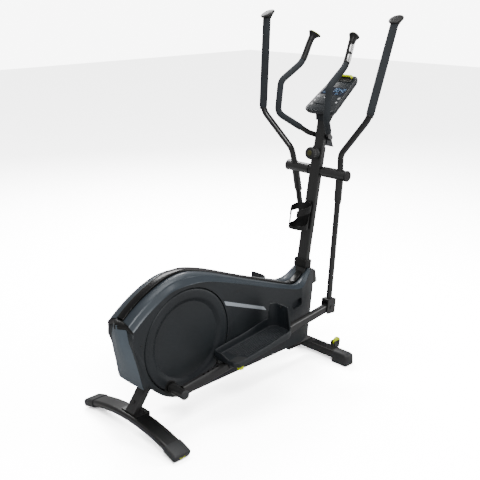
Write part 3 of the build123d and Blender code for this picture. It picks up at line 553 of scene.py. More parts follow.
def casing_side(side_name, side):
    """Hollow shell with the round opening for the crank disc and a moulded grab recess."""
    bm = bmesh.new()
    opening = [(DISC_D + DISC_GAP_RADIUS * c, DISC_Z + DISC_GAP_RADIUS * s) for c, s in circle(120)]
    recess = round_corners(((884, 306), (950, 318), (947, 356), (882, 346)), 12)
    loops = []
    for outline, depth in ((casing_outline(), 83.7), (opening, 16.0), (recess, 16.0)):
        ring = [bm.verts.new(world(at(d), side * CASING_HALF, z)) for d, z in outline]
        inner = [bm.verts.new(world(at(d), side * (CASING_HALF - depth), z)) for d, z in outline]
        edges = []
        for i in range(len(ring)):
            k = (i + 1) % len(ring)
            edges.append(bm.edges.new((ring[i], ring[k])))
            bm.faces.new((ring[i], ring[k], inner[k], inner[i]))
        loops.append((edges, inner))
    bmesh.ops.triangle_fill(bm, edges=[e for edges, _ in loops for e in edges], use_beauty=True)
    bm.faces.new(loops[2][1])
    nose = [*bm.faces, *bm.edges, *bm.verts]
    bmesh.ops.bisect_plane(bm, geom=nose, plane_co=world(at(NOSE_D), 0, 0), plane_no=(1, 0, 0))
    for v in bm.verts:
        d = v.co.x / MM + ORIGIN_D
        if abs(v.co.y) / MM > 60 and d > NOSE_D:
            v.co.y = side * casing_width(d) * MM
    piece(f"casing_shell_{side_name}", bm, "root", "charcoal_plastic", (f"casing_{side_name}",),
          bevel=2.2, solid=2.6, smooth=40)


def shoulder_band(side_name, side):
    """Satin band between the crown and the side: an upper facet, a soft crease and a lower facet."""
    rows = []
    profile = ((0.0, -1.0), (0.03, 1.5), (0.25, 5.2), (0.50, 8.6), (0.53, 8.2), (0.56, 6.2), (0.6, 5.6),
               (0.85, 3.2), (0.97, 1.4), (1.0, 0.0))
    for high, low in zip(smooth_line(CROWN, 110), smooth_line(BAND_LOW, 110)):
        a = Vector((at(high.x), side * (STRIP_HALF + 1.2), high.y - STRIP_RISE))
        b = Vector((at(low.x), side * (casing_width(low.x) - 0.3), low.y + 0.6))
        out = Vector((0, side * (a.z - b.z), abs(b.y - a.y))).normalized()
        rows.append([(a.lerp(b, v) + out * lift) * MM for v, lift in profile])
    sheet(f"shoulder_band_shell_{side_name}", rows, "root", "anthracite", (f"shoulder_band_{side_name}",),
          bevel=0.8, solid=2.4 * -side, smooth=60)


def top_strip():
    half = ((1.0, -STRIP_RISE - 3), (1.0, -1.5), (0.94, -0.2), (0.82, 0.4), (0.45, 1.2), (0.0, 1.6))
    section = [(-y, z) for y, z in half[:-1]] + [(y, z) for y, z in reversed(half)]
    rows = [[world(at(p.x), y * STRIP_HALF, p.y + z) for y, z in section] for p in smooth_line(CROWN, 110)]
    sheet("crown_strip", rows, "root", "gloss_black", ("casing_top_strip",), bevel=0.8, solid=2.4, smooth=60)


# height; the ridge's x at the centre; the middle fold's y and x; the cover's edge y and x; the side shell's x
REAR_SECTIONS = ((506, -70, 18, -60, 36, -47, -43), (495, -71, 20, -60, 41, -46.5, -43.5),
                 (442, -63, 28, -56, 57, -48.5, -47), (400, -56, 32, -50, 66, -40, -34),
                 (340, -40, 36, -37, 74, -28, -12.5), (290, -26, 40, -24, 79, -19, 5),
                 (240, -14, 42, -12, 82, -10, 23), (222, -6, 42, -5, 82, -3, 28))


def rear_cover():
    """Pale faceted cover: a centre ridge with chamfers that widen towards the floor."""
    rows = []
    for z, ridge, mid_y, mid_x, edge_y, edge_x, _ in REAR_SECTIONS:
        half = ((edge_y, edge_x + 8), (edge_y, edge_x), (mid_y, mid_x), (mid_y * 0.4, ridge + 0.4))
        row = [(x, -y) for y, x in half] + [(ridge, 0)] + [(x, y) for y, x in reversed(half)]
        rows.append([world(at(x), y, z) for x, y in row])
    sheet("rear_cover_shell", rows, "root", "cover_grey", ("casing_rear_cover",), bevel=0.8, solid=1.6,
          smooth=14, even=False)


def band_end(y):
    """Height of the crown and bands where they stop at the back of the casing."""
    t = min(max((abs(y) - STRIP_HALF) / (CASING_HALF - STRIP_HALF), 0), 1)
    return CROWN[0][1] - STRIP_RISE + (BAND_LOW[0][1] - CROWN[0][1] + STRIP_RISE) * t


def rear_brow():
    """Dark rounded edge that closes the casing between the pale cover and the crown."""
    ys = [-83.9 + 167.8 * i / 48 for i in range(49)]
    z, ridge, mid_y, mid_x, edge_y, edge_x, shell_x = REAR_SECTIONS[1]
    line = ((0, ridge), (mid_y, mid_x), (edge_y, edge_x), (CASING_HALF, shell_x))

    def back(y):
        for (y0, x0), (y1, x1) in zip(line, line[1:]):
            if abs(y) <= y1:
                return x0 + (x1 - x0) * (abs(y) - y0) / (y1 - y0)
        return shell_x

    rows = []
    for share, lift in ((0, -14), (0, -2), (0.12, 3), (0.4, 5.5), (1, 1.2)):
        row = []
        for y in ys:
            x = back(y) * (1 - share) - 43.0 * share - 0.8 * (share == 0)
            low = min(z + 9, band_end(y))
            row.append(world(at(x), y, low + (band_end(y) - low) * share + lift))
        rows.append(row)
    sheet("rear_brow", rows, "root", "black_plastic", solid=-1.6, smooth=50, even=False)


def rear_wrap(side_name, side):
    """Charcoal shell between the pale cover and the casing's side."""
    rows = []
    for z, _, _, _, edge_y, edge_x, shell_x in REAR_SECTIONS[1:]:
        row = ((edge_y - 4, edge_x + 6), (edge_y + 1, edge_x + 2.2), (min(edge_y + 12, 82.4), edge_x + 3),
               (82.9, shell_x - 1.5), (83.9, shell_x + 1.5))
        rows.append([world(at(x), side * y, min(z, band_end(y) - 2)) for y, x in row])
    sheet(f"rear_wrap_{side_name}", rows, "root", "charcoal_plastic", solid=1.6 * side, smooth=30, even=False)


def side_strip(side_name, side, replaced):
    outline = round_corners(((441, 482), (451, 460), (706, 361), (686, 384)), 1.5)
    rows = [[world(at(d), side * y, z) for d, z in outline] for y in (CASING_HALF + 0.05, CASING_HALF + 0.8)]
    lofted(f"trim_strip_{side_name}", rows, "root", "trim_silver", replaced, bevel=0.25)


# --- crank discs ---
def crank_disc(side_name, side):
    """Ring round a dished floor, with a moulded hub and a collar round the crank boss."""
    profile = ((4, 70), (20, 70), (28, 69), (31, 66.5), (34, 66), (60, 65), (100, 64.8), (140, 66),
               (156, 69), (168, 74), (178, 80), (183, 83), (187, 84.6), (193, 85.4), (206, 86), (217, 85.8),
               (221.5, 84.8), (224.4, 82.4), (225.2, 79), (225.2, 74))
    turned(f"disc_cover_{side_name}", profile, about(DISC, (0, side, 0)), 144, "crank", "charcoal_plastic",
           (f"crank_disc_{side_name}",))
    turned(f"boss_collar_{side_name}", ((17.2, 84), (30, 84), (30, 86.5), (27, 88), (19, 88), (17.4, 87)),
           pin_axis(side_name, side), 48, "crank", "black_plastic")


# --- levers ---
LEVER_LOW_BEND = Vector((-19.7, 284.0, 278.0))
LEVER_NECK = Vector((93.8, 282.0, 691.3))
PIVOT = spot("lever_right_swing")
HUB_END = 0.1842                  # how far out the hubs' end faces stand, in metres
LEVER_SWING = {"right": math.radians(-6.0), "left": math.radians(12.7)}


def swung(side_name, side):
    """Lever drawing plane turned to its rest angle about the pivot; gives millimetres."""
    c, s = math.cos(LEVER_SWING[side_name]), math.sin(LEVER_SWING[side_name])
    x0, z0 = PIVOT.x / MM, PIVOT.z / MM
    return lambda v: Vector((x0 + c * v.x - s * v.z, side * v.y, z0 + s * v.x + c * v.z))


def lever_grip(side_name, side):
    turn = swung(side_name, side)
    along = (LEVER_NECK - LEVER_LOW_BEND).normalized()
    low, high = turn(LEVER_LOW_BEND + along * 12), turn(LEVER_NECK)
    path = [low.lerp(high, i / 60) for i in range(61)]

    def radius(t):
        start = min(t / 0.02, 1)
        return 15.2 + 3.4 * math.sin(start * math.pi / 2) + 0.5 * math.sin(math.pi * t)

    body = f"lever_{side_name}"
    tube(f"grip_foam_{side_name}", path, radius, 48, body, "foam", (f"lever_grip_{side_name}",))
    axis = (high - low).normalized()
    lean = Vector((-0.5, side * 0.05, 1)).normalized()
    place = local((high + axis * 15 + Vector((8, 0, 0))) * MM, (1, 0, 0), lean)
    rows = []
    for wide, height in ((14, -18), (18, -13), (24, -5), (30, 0), (34.4, 3.5), (35.6, 6.5), (34.6, 9.4),
                         (30, 11.6), (20, 13), (6, 13.4)):
        back = 6 * max(-height, 0) / 14
        rows.append([place(wide * 1.04 * c - back, wide * 0.94 * s, height) for c, s in circle(64)])
    black = MATERIALS["black_plastic"]
    lofted(f"grip_cap_{side_name}", rows, body, "foam", smooth=60, material=black)
    ring = ((14.7, -7), (16.2, -7), (16.6, -6), (16.6, -1), (15.8, 0.4), (14.7, 0.4))
    turned(f"grip_ring_{side_name}", ring, about(low * MM, axis), 48, body, "foam", material=black)


def lever_bolts(side_name, side):
    turn = swung(side_name, side)
    c, s = math.cos(LEVER_SWING[side_name]), math.sin(LEVER_SWING[side_name])
    for k, z in enumerate((-95, -130)):
        origin = turn(Vector((18.0, 141, z))) * MM
        bolt(f"stub_bolt_{side_name}_{k}", about(origin, Vector((c, 0, s))), f"lever_{side_name}", 6.5, 5.5)


def hub_cap(side_name, side):
    profile = ((25.4, -4), (26.4, -3.4), (26.4, -0.6), (25, 0.8), (20, 1.8), (18.6, 1.2), (12, 1.4), (4, 1.8))
    place = about(Vector((PIVOT.x, side * HUB_END, PIVOT.z)), (0, side, 0))
    turned(f"hub_cap_{side_name}", profile, place, 64, f"lever_{side_name}", "black_plastic")


# --- fixed handlebar ---
BAR_POINTS = ((1192.0, 30.0, 1084.0), (1140.0, 62.0, 1106.0), (1014.0, 148.0, 1204.0),
              (1030.7, 145.7, 1350.8), (1161.8, 129.9, 1429.5), (1206.0, 122.3, 1526.0))
BAR_BENDS = (30.0, 46.0, 46.0, 110.0)
BAR_TIP = Vector((1226.0, 119.0, 1561.0))
PLATE_RADIUS = 15.9


def bar_line(side):
    return arc_path([(at(d), side * y, z) for d, y, z in BAR_POINTS], BAR_BENDS)


def bar_foam(side_name, side, replaced):
    path = bar_line(side)
    total = path_length(path)

    def foam_radius(t):
        return 13.2 + 2.1 * min(1, t / 0.012, (1 - t) / 0.012)

    tube(f"bar_foam_{side_name}", resample(path, total * 0.17, total - 98, 5), foam_radius, 40, "root",
         "foam", replaced)
    tube(f"bar_sleeve_{side_name}", resample(path, total - 97, total, 4), lambda t: 15.2, 40, "root",
         "black_plastic")


def pulse_plates(side_name, side, replaced):
    """Curved metal plates round the outboard half of the grip, with a dark web between them."""
    path = bar_line(side)
    total = path_length(path)
    for k, (first, last) in enumerate(((92, 54), (46, 8))):
        line = resample(path, total - first, total - last, 2)
        axis = (line[-1] - line[0]).normalized()
        out = Vector((0.1, side, 0.1))
        out = (out - axis * out.dot(axis)).normalized()
        across = axis.cross(out)
        rows = []
        for i, p in enumerate(line):
            t = i / (len(line) - 1)
            swell = math.sqrt(max(0.0, 1 - (2 * t - 1)**6))
            reach = 0.3 + 0.85 * swell
            rows.append([(p + out * (PLATE_RADIUS * math.cos(a)) + across * (PLATE_RADIUS * math.sin(a))) * MM
                         for a in (reach * (j / 12 * 2 - 1) for j in range(13))])
        sheet(f"pulse_plate_{side_name}_{k}", rows, "root", "bolt_steel", replaced if k == 0 else (),
              solid=-0.8, bevel=0.3, smooth=60, material=EXTRAS["plate"])


def tip_cap(side_name, side, replaced):
    """Flared thumb cap swept forward of the grip, with a dished yellow button."""
    neck = Vector((at(BAR_POINTS[-1][0]), side * BAR_POINTS[-1][1], BAR_POINTS[-1][2]))
    tip = Vector((at(BAR_TIP.x), side * BAR_TIP.y, BAR_TIP.z))
    axis = (tip - neck).normalized()
    forward = Vector((0.95, -side * 0.3, 0))
    forward = (forward - axis * forward.dot(axis)).normalized()
    across = axis.cross(forward)
    length = (tip - neck).length
    stations = ((0.02, 15.4, 15.4, 0), (0.3, 16.0, 16.2, 0.5), (0.5, 18.2, 17.6, 2.0), (0.7, 24.5, 20.6, 4.5),
                (0.84, 31.0, 23.2, 6.4), (0.93, 33.0, 24.4, 7.0), (0.97, 31.6, 23.2, 7.0))

    def oval(centre, long_half, wide_half, horn):
        """Oval across the grip whose two long ends stand up by horn."""
        return [(centre + forward * (long_half * c) + across * (wide_half * s) + axis * (horn * c**2)) * MM
                for c, s in circle(48)]

    rows = [oval(neck + axis * (length * t) + forward * shift, long_half, wide_half, 5.0 * max(0.0, t - 0.5))
            for t, long_half, wide_half, shift in stations]
    lofted(f"thumb_cap_{side_name}", rows, "root", "black_plastic", replaced, smooth=50)
    rows = [oval(tip + axis * (height - 0.4) + forward * 7.0, 29.5 * share, 21.0 * share, 2.4 * share**2)
            for share, height in ((1.0, -5), (1.0, 0.6), (0.93, 2.6), (0.7, 3.8), (0.35, 4.4), (0.04, 4.6))]
    button = f"tip_button_{side_name}"
    lofted(f"thumb_button_{side_name}", rows, button, "yellow", (button,), smooth=50)


# --- console ---
CONSOLE_LOW = Vector((1125.2, 0, 1214.9))
CONSOLE_HIGH = Vector((1339.5, 0, 1362.0))
CONSOLE_HALF = (89.0, 69.0)       # half widths at the low and the high edge
NECK_Z = 1175.0
SEGMENTS = {0: "abcdef", 1: "bc", 2: "abged", 3: "abgcd", 4: "fgbc", 5: "afgcd", 8: "abcdefg"}


def console_frame():
    middle = (CONSOLE_LOW + CONSOLE_HIGH) / 2
    rise = CONSOLE_HIGH - CONSOLE_LOW
    normal = Vector((-rise.z, 0, rise.x))
    return local(Vector((at(middle.x), 0, middle.z)) * MM, (0, -1, 0), normal), rise.length


def console():
    place, length = console_frame()
    half = length / 2

    def outline(inset, radius):
        low, high, tall = CONSOLE_HALF[0] - inset, CONSOLE_HALF[1] - inset, half - inset
        return round_corners(((-low, -tall), (low, -tall), (high, tall), (-high, tall)),
                             (radius + 8, radius + 8, radius + 9, radius + 9), 8)

    body = ((16, -31), (7, -27), (2, -17), (0, -8), (0, -2), (1.2, 0.6), (3, 1.4), (4.6, 0.6), (5, -2))
    rows = [[place(a, b, height) for a, b in outline(inset, 15)] for inset, height in body]
    lofted("console_shell", rows, "root", "charcoal_plastic", ("console_housing",), smooth=45)
    glass = ((5.2, -3), (5.2, 0.4), (6, 0.9))
    rows = [[place(a, b, height) for a, b in outline(inset, 11)] for inset, height in glass]
    lofted("console_glass", rows, "root", "screen", ("console_face",), smooth=30)
    post = mast_frame(NECK_Z)
    rows = [[post(a + (deep - 19) * 0.9, b, height) for a, b in rounded_box(deep, wide, 8, 6)]
            for height, deep, wide in ((-10, 19, 34), (4, 21, 36), (40, 27, 46), (68, 36, 60))]
    lofted("console_neck", rows, "root", "charcoal_plastic", smooth=45)


def console_marks():
    """Display window with generic figures, ring-shaped touch marks, and the tablet shelf's dark pocket."""
    place, _ = console_frame()
    window = bmesh.new()
    slab(window, round_corners(((-70, -14), (70, -14), (63, 40), (-63, 40)), 6), 0.6, 1.15, place)
    piece("display_window", window, "root", "screen", bevel=0.2, material=EXTRAS["display"])
    digits = bmesh.new()

    def bar(a, b, wide, tall):
        box_slab(digits, a - wide / 2, a + wide / 2, b - tall / 2, b + tall / 2, 1.1, 1.5, place)

    def figure(value, a, b, size):
        spots = {"a": (0, 1, 1), "g": (0, 0, 1), "d": (0, -1, 1), "f": (-1, 0.5, 0), "b": (1, 0.5, 0),
                 "e": (-1, -0.5, 0), "c": (1, -0.5, 0)}
        for mark in SEGMENTS[value]:
            u, v, flat = spots[mark]
            long, thin = size * 0.4, size * 0.1
            bar(a + u * size * 0.28, b + v * size * 0.5, long if flat else thin, thin if flat else long)

    for value, a, b, size in ((1, -56, 26, 13), (5, -45, 26, 13), (0, -30, 26, 13), (3, 2, 22, 21),
                              (0, 20, 22, 21), (4, 38, 22, 21), (2, 54, 22, 21), (2, -54, 2, 10),
                              (0, -45, 2, 10), (8, 22, -2, 10), (5, 31, -2, 10), (1, 46, -2, 10)):
        figure(value, a, b, size)
    bar(11, 27, 2, 2)
    bar(11, 18, 2, 2)
    piece("display_figures", digits, "root", "screen", material=EXTRAS["digit"])
    marks = bmesh.new()
    for a, b, radius in ((-62, -32, 6.5), (62, -32, 6.5), (-64, -60, 5), (64, -60, 5), (-66, -86, 6.5),
                         (28, -60, 4), (-22, -34, 4), (46, -84, 4)):
        ring = [[place(a + r * c, b + r * s, h) for c, s in circle(24)]
                for r, h in ((radius, 0.7), (radius, 1.2), (radius - 1.8, 1.2), (radius - 1.8, 0.7))]
        grid(marks, ring, wrap_rows=True, wrap_columns=True)
        arrow = ((a - radius * 0.3, b - radius * 0.35), (a + radius * 0.45, b),
                 (a - radius * 0.3, b + radius * 0.35))
        slab(marks, arrow, 0.7, 1.2, place)
    piece("touch_marks", marks, "root", "screen", material=EXTRAS["print_white"])
    rows = []
    for i, h in ((0, 0.7), (0, 3.4), (2.2, 4), (4, 3.2), (6, 1.2)):
        corners = ((-52 + i, 84 + i), (52 - i, 84 + i), (46 - i, 118 - i), (-46 + i, 118 - i))
        rows.append([place(a, b, h) for a, b in round_corners(corners, 7)])
    lofted("tablet_pocket", rows, "root", "black_plastic", smooth=50)
    bends = [place(a, b, 9) / MM for a, b in ((-46, 108), (-38, 118), (38, 118), (46, 108))]
    tube("tablet_lip", arc_path(bends, (9, 9), 3), lambda t: 5.2 + 0.6 * math.sin(math.pi * t), 24, "root",
         "yellow", ("tablet_rest",))


# --- pedals ---
# the tray's ends along the arm, its edges outboard of the centre plane, its floor over the arm, the knob
PEDAL_REAR, PEDAL_FRONT = 234.0, 606.0
PEDAL_INNER, PEDAL_OUTER = 104.0, 250.0
PEDAL_FLOOR = 30.0
KNOB_S, KNOB_Y = 274.0, 226.0


def ease(t):
    t = min(max(t, 0.0), 1.0)
    return t * t * (3 - 2 * t)


def rim_height(s, y):
    """Rim over the tray's underside: low outboard, higher inboard, with a tall toe guard at the front."""
    inboard = ease((PEDAL_OUTER - 40 - y) / 60)
    rim = 26 + 18 * inboard + 8 * ease((s - 400) / 160)
    guard = ease((s - (PEDAL_FRONT - 34)) / 16) * ease((PEDAL_OUTER - 18 - y) / 14)
    return rim + (128 - rim) * guard


def pedal_outline():
    """Plan of the footplate (s, y) as closely spaced points, and a function that draws a point inwards."""
    corners = ((PEDAL_REAR, PEDAL_INNER), (PEDAL_FRONT, PEDAL_INNER), (PEDAL_FRONT, PEDAL_OUTER),
               (PEDAL_REAR + 16, PEDAL_OUTER), (PEDAL_REAR, PEDAL_OUTER - 20))
    shape = round_corners(corners, (16, 46, 58, 14, 14), 10)
    outline = []
    for i, p in enumerate(shape):
        q = Vector(shape[(i + 1) % len(shape)])
        p = Vector(p)
        count = max(1, int((q - p).length / 7))
        outline += [p.lerp(q, k / count) for k in range(count)]
    middle = Vector(((PEDAL_REAR + PEDAL_FRONT) / 2, (PEDAL_INNER + PEDAL_OUTER) / 2))
    span = Vector((PEDAL_FRONT - PEDAL_REAR, PEDAL_OUTER - PEDAL_INNER)) / 2

    def inset(p, by):
        shrink = Vector((1 - by / span.x, 1 - by / span.y))
        return Vector((middle.x + (p.x - middle.x) * shrink.x, middle.y + (p.y - middle.y) * shrink.y))

    return outline, inset


def pedal_tray(side_name, place):
    """Tray with its rim and toe guard, and the ribs on its floor."""
    outline, inset = pedal_outline()
    bm = bmesh.new()
    rows = []
    levels = ((9, 0, 0), (2.5, 2, 0), (0, 7, 0), (0, -2.2, 1), (1.3, -0.4, 1), (3.4, 0, 1), (5.2, -1.4, 1),
              (6, -4, 1), (7, 14.5, 0), (9, 12.6, 0), (13, 12, 0))
    for by, lift, top in levels:
        rows.append([place(*inset(p, by), PEDAL_FLOOR + lift + top * rim_height(p.x, p.y)) for p in outline])
    grid(bm, rows, wrap_columns=True, caps=True)
    for k in range(11):
        y = PEDAL_INNER + 20 + k * 10.6
        front = PEDAL_FRONT - 24 - 46 * abs((k - 5) / 5)**2.4
        path = [place(s, y, PEDAL_FLOOR + 13.0) / MM for s in (PEDAL_REAR + 58 + 26 * (k > 6), front)]
        line = [path[0].lerp(path[1], i / 12) for i in range(13)]
        sleeve(bm, line, lambda t: 2.9 * math.sqrt(min(1, 0.2 + t * 12, 0.2 + (1 - t) * 12)), 10)
    body = f"pedal_{side_name}"
    piece(f"footplate_{side_name}", bm, body, "charcoal_plastic", (body,), smooth=42)


def shifted(place, s, y, n):
    return lambda a, b, c: place(s + a, y + b, n + c)


def pedal(side_name, side):
    place = arm_frame(side_name, side)
    body = f"pedal_{side_name}"
    pedal_tray(side_name, place)
    pad = round_corners(((PEDAL_REAR + 10, PEDAL_OUTER - 58), (PEDAL_REAR + 58, PEDAL_OUTER - 58),
                         (PEDAL_REAR + 80, PEDAL_OUTER - 12), (PEDAL_REAR + 24, PEDAL_OUTER - 12)), 7)
    rows = [[place(s, y, h) for s, y in pad] for h in (PEDAL_FLOOR + 11, PEDAL_FLOOR + 19)]
    lofted(f"footplate_pad_{side_name}", rows, body, "charcoal_plastic", bevel=1.5,
           material=EXTRAS["cap_grey"])
    bm = bmesh.new()
    outline = round_corners(((PEDAL_REAR + 30, -8), (PEDAL_FRONT - 60, -8),
                             (PEDAL_FRONT - 50, PEDAL_FLOOR + 1), (PEDAL_REAR + 20, PEDAL_FLOOR + 1)), 5)
    for cheek in ((129, 134.2), (165.8, 171)):
        rows = [[place(s, y, n) for s, n in outline] for y in cheek]
        grid(bm, rows, wrap_columns=True, caps=True)
    box_slab(bm, PEDAL_REAR + 22, PEDAL_FRONT - 52, 129, 171, 23, PEDAL_FLOOR + 1, place)
    piece(f"footplate_saddle_{side_name}", bm, body, "charcoal_plastic", bevel=1.0)

    def guard_face(a, b, c):
        return place(PEDAL_FRONT - 8.2 - c, PEDAL_INNER + 66 + a, 148 + b)

    bolt(f"guard_screw_{side_name}", guard_face, body, 4.0, 2.4)
    bolt(f"lock_pin_{side_name}", shifted(place, PEDAL_REAR + 6, 118, PEDAL_FLOOR - 22), body, 4.5, 30)
    knob = f"pedal_knob_{side_name}"
    profile = ((5, 0), (12, 0), (14.6, 1.6), (15, 4), (15, 10), (14.2, 12.6), (11, 14), (5, 14), (5, 22))
    turned(f"lock_knob_{side_name}", profile, shifted(place, KNOB_S, KNOB_Y, 8), 48, knob, "yellow", (knob,),
           smooth=40)


# --- crank pin caps, knobs, wheels, feet ---
def pin_cap(side_name, side):
    profile = ((20.6, 178.2), (21.2, 179), (21.2, 182.4), (19.8, 184.6), (16, 185.6), (8, 186.2))
    turned(f"pin_cap_{side_name}", profile, pin_axis(side_name, side), 56, f"arm_{side_name}",
           "black_plastic", material=EXTRAS["cap_grey"])


def transport_wheel(side_name):
    """Wheel with a crowned tread, a dished web and spokes."""
    bm = bmesh.new()
    place = about(spot(f"transport_wheel_{side_name}_spin"), (0, 1, 0))
    lathe(bm, ((5.2, -7.6), (9, -7.6), (9, -3), (16, -3), (16, -7.6), (20, -8), (21.6, -6.6), (22, -2),
               (22, 2), (21.6, 6.6), (20, 8), (16, 7.6), (16, 3), (9, 3), (9, 7.6), (5.2, 7.6)), place, 64)
    spoke = ((9, -1.2), (9, 1.2), (16.2, 1.2), (16.2, -1.2))
    for c, s in circle(6):
        slab(bm, [(r * c - w * s, r * s + w * c) for r, w in spoke], -6.8, 6.8, place)
    body = f"transport_wheel_{side_name}"
    piece(f"wheel_{side_name}", bm, body, "yellow", (body,), bevel=0.3, smooth=40)


THUMBWHEEL_RADIUS = 27.0


def level_foot(side_name):
    """Scalloped thumbwheel on a rubber-faced pad."""
    centre = spot(f"level_foot_{side_name}_turn")
    place = about(Vector((centre.x, centre.y, 0)), (0, 0, 1))

    def scallop(a):
        return 1.3 * (0.5 + 0.5 * math.cos(24 * a))**3

    rows = [fluted(place, 168, height, lambda a: THUMBWHEEL_RADIUS - shrink - scallop(a))
            for shrink, height in ((4, 11.4), (1, 11.8), (0, 12.8), (0, 19.2), (1, 20.2), (4, 20.6))]
    body = f"level_foot_{side_name}"
    lofted(f"thumbwheel_{side_name}", rows, body, "black_plastic", (body,), smooth=60)
    profile = ((14, 0), (16.4, 0), (17, 1), (17, 6), (15.4, 8), (6, 8.4), (5, 9), (5, 11.5))
    turned(f"foot_pad_{side_name}", profile, place, 48, body, "black_plastic",
           material=MATERIALS["belt_rubber"])


def mast_knob():
    """Ribbed knob, dull brass cap in its middle, and the bush behind it."""
    place = local(spot("mast_knob_turn"), (0, 1, 0), JOINTS["mast_knob_turn"]["axis"])
    stations = ((15, 0, 20), (24, 0, 22), (28.4, 1.6, 25), (29.6, 1.8, 29), (29.6, 1.8, 45), (28, 1.2, 50),
                (24, 0, 52), (14.8, 0, 52), (14.2, 0, 50.6), (13.8, 0, 50.4))
    rows = [fluted(place, 180, height, lambda a: radius - depth * max(0, math.cos(18 * a)))
            for radius, depth, height in stations]
    lofted("clamp_knob", rows, "mast_knob", "knob_brass", ("mast_knob",), smooth=50)
    cap = ((13.4, 49.6), (13.4, 51.6), (12.2, 52.6), (8, 53.2), (3, 53.4))
    turned("clamp_knob_cap", cap, place, 48, "mast_knob", "knob_brass", material=EXTRAS["brass"])
    bush = ((8, 1), (22, 1), (23, 2), (22, 6), (17, 9), (14, 20), (8, 20))
    turned("clamp_bush", bush, place, 56, "mast_knob", "black_plastic", material=EXTRAS["cap_grey"])


# --- bottle cage ---
CAGE_Z, CAGE_CENTRE, CAGE_RADIUS = 720.0, -71.5, 46.0


def cage_band(bm, place, radius, first, last, low, high):
    """Upright band round the bottle between two angles; its edges may slope."""
    rows = []
    for i in range(41):
        t = i / 40
        a = math.radians(first + (last - first) * t)
        section = ((radius, low(t)), (radius, high(t)), (radius - 3, high(t)), (radius - 3, low(t)))
        rows.append([place(CAGE_CENTRE + r * math.cos(a), r * math.sin(a), h) for r, h in section])
    grid(bm, rows, wrap_columns=True, caps=True)


def bottle_cage():
    place = mast_frame(CAGE_Z)
    bm = bmesh.new()
    cage_band(bm, place, CAGE_RADIUS + 3, -160, 160, lambda t: -8 + 34 * math.sin(math.pi * t),
              lambda t: 22 + 38 * math.sin(math.pi * t))
    cage_band(bm, place, CAGE_RADIUS, -88, 88, lambda t: -66,
              lambda t: -66 + 26 + 78 * math.sin(math.pi * t)**2.2)
    cage_band(bm, place, CAGE_RADIUS, 88, 272, lambda t: -66, lambda t: -40 - 16 * math.sin(math.pi * t))
    disc = [[place(CAGE_CENTRE + r * c, r * s, h) for c, s in circle(48)]
            for r, h in ((20, -68.5), (43, -68.5), (46, -66), (46, -62), (43, -62), (41, -64), (20, -64))]
    grid(bm, disc, wrap_rows=True, wrap_columns=True)
    cage_band(bm, place, CAGE_RADIUS + 1.5, 140, 156, lambda t: -62, lambda t: 12)
    back_plate = round_corners(((-25.5, -17), (-17.5, -17), (-17.5, 17), (-25.5, 17)), 2)
    slab(bm, back_plate, -66, 68, place)
    piece("cage", bm, "root", "black_plastic", ("bottle_cage",), bevel=0.7, smooth=40)


# --- frame end caps, collar, hood, welds ---
ARCH_DROP = 52.0
ARCH_RADIUS = (300.0**2 + ARCH_DROP**2) / (2 * ARCH_DROP)
REAR_MID_Z = 76.0
FRONT_D = 1108.0


def arch_place(y):
    a = math.asin(y / ARCH_RADIUS)
    centre = Vector((at(0), 0, REAR_MID_Z - ARCH_RADIUS))
    out = Vector((0, math.sin(a), math.cos(a)))
    point = centre + out * ARCH_RADIUS
    return lambda a_, b_: (point + Vector((1, 0, 0)) * a_ + out * b_) * MM


def rear_end_cap(side_name, side, replaced):
    """Moulded boot on the end of the arched tube, with a crescent inlay on its end face."""
    rows = []
    for y, grow in ((246, -1.6), (246.4, 0), (250, 0.6), (280, 0.6), (304, 0.4), (309.4, -0.8), (311.6, -4)):
        place = arch_place(side * y)
        rows.append([place(a, b) for a, b in rounded_box(43 + grow, 17.4 + grow, 12.5, 7)])
    lofted(f"rear_boot_{side_name}", rows, "root", "charcoal_plastic", replaced, smooth=45,
           material=EXTRAS["cap_grey"])
    face, back = arch_place(side * 312.6), arch_place(side * 309.0)
    curve = [math.radians(200 + 14 * i) for i in range(11)]
    ring = [(15 * math.cos(a), 12 * math.sin(a) + 3) for a in curve]
    ring += [(12.5 * math.cos(a), 7.5 * math.sin(a) + 3) for a in reversed(curve)]
    rows = [[back(a, b) for a, b in ring], [face(a, b) for a, b in ring]]
    lofted(f"rear_boot_inlay_{side_name}", rows, "root", "charcoal_plastic", material=MATERIALS["yellow"])


def front_end_cap(side_name, side, replaced):
    rows = []
    for y, grow, drop in ((175.6, -2.5, 0), (176.2, 0, 0), (182, 1, 0), (246, 1, 0), (259, -0.5, 1),
                          (264.6, -4.5, 4)):
        half, low, high = 31 + grow, 0.4 + drop * 0.5, 61 + grow - drop
        corners = ((-half, low), (half, low), (half - 3, high), (-half + 3, high))
        outline = round_corners(corners, (6, 6, 15, 15), 7)
        rows.append([world(at(FRONT_D) + a, side * y, b) for a, b in outline])
    lofted(f"front_boot_{side_name}", rows, "root", "charcoal_plastic", replaced, smooth=45,
           material=EXTRAS["cap_grey"])


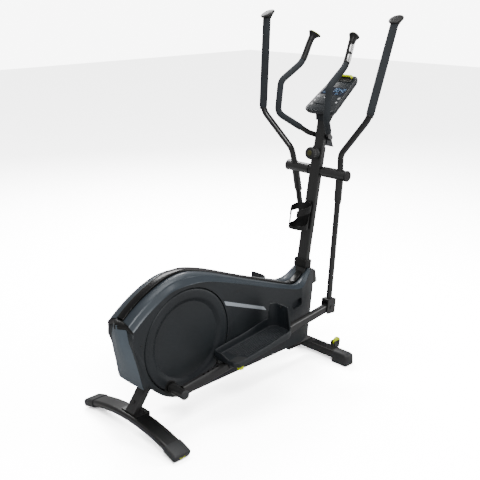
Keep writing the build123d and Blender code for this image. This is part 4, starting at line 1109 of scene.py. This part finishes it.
def front_ribs():
    """Moulded grip ribs along the top of the front stabilizer's sleeves."""
    bm = bmesh.new()
    for _, side in SIDES:
        for k in range(4):
            d = FRONT_D - 15 + 10 * k
            path = [Vector((at(d), side * y, 58.6)) for y in range(30, 172, 6)]
            sleeve(bm, path, lambda t: 1.9 * math.sqrt(min(1, 0.15 + t * 14, 0.15 + (1 - t) * 14)), 12)
    piece("front_ribs", bm, "root", "black_plastic", smooth=60)


def lever_welds(side_name, side):
    turn = swung(side_name, side)
    ring = []
    for i in range(41):
        a = 2 * math.pi * i / 40
        x, y = 15.4 * math.cos(a), 15.4 * math.sin(a)
        z = math.sqrt(25.2**2 - x * x)
        ring.append(turn(Vector((x, 140 + y, z))))
    tube(f"lever_weld_{side_name}", ring, lambda t: 2.2 * (1 + 0.16 * math.sin(t * 150)), 12,
         f"lever_{side_name}", "black_paint", smooth=60)


COLLAR_Z = 478.0


def mast_collar():
    place = mast_frame(COLLAR_Z)
    rows = []
    for height, grow in ((-12, -3), (-8, -1), (0, 0), (24, 0), (28, -0.8), (30, -2.4), (30, -7.4)):
        a, b = 23.5 + grow, 38 + grow
        rows.append([place(x, y, height) for x, y in rounded_box(a, b, 6, 6)])
    lofted("collar", rows, "root", "black_plastic", ("mast_collar",), smooth=45)


def build():
    """A paired fitting is one CAD node for both sides, so only the first side's piece replaces it."""
    for side_name, side in SIDES:
        for make in (casing_side, shoulder_band, crank_disc, lever_grip, lever_bolts, lever_welds, hub_cap,
                     pedal, pin_cap):
            make(side_name, side)
        transport_wheel(side_name)
        level_foot(side_name)
        for make, node in ((side_strip, "side_strips"), (bar_foam, "handlebar_foams"),
                           (pulse_plates, "pulse_sensors"), (tip_cap, "tip_caps"),
                           (rear_end_cap, "rear_end_caps"), (front_end_cap, "front_end_caps")):
            make(side_name, side, (node,) if side < 0 else ())
    top_strip()
    rear_cover()
    rear_brow()
    for side_name, side in SIDES:
        rear_wrap(side_name, side)
    for make in (console, console_marks, mast_knob, mast_collar, bottle_cage, front_ribs):
        make()


build()
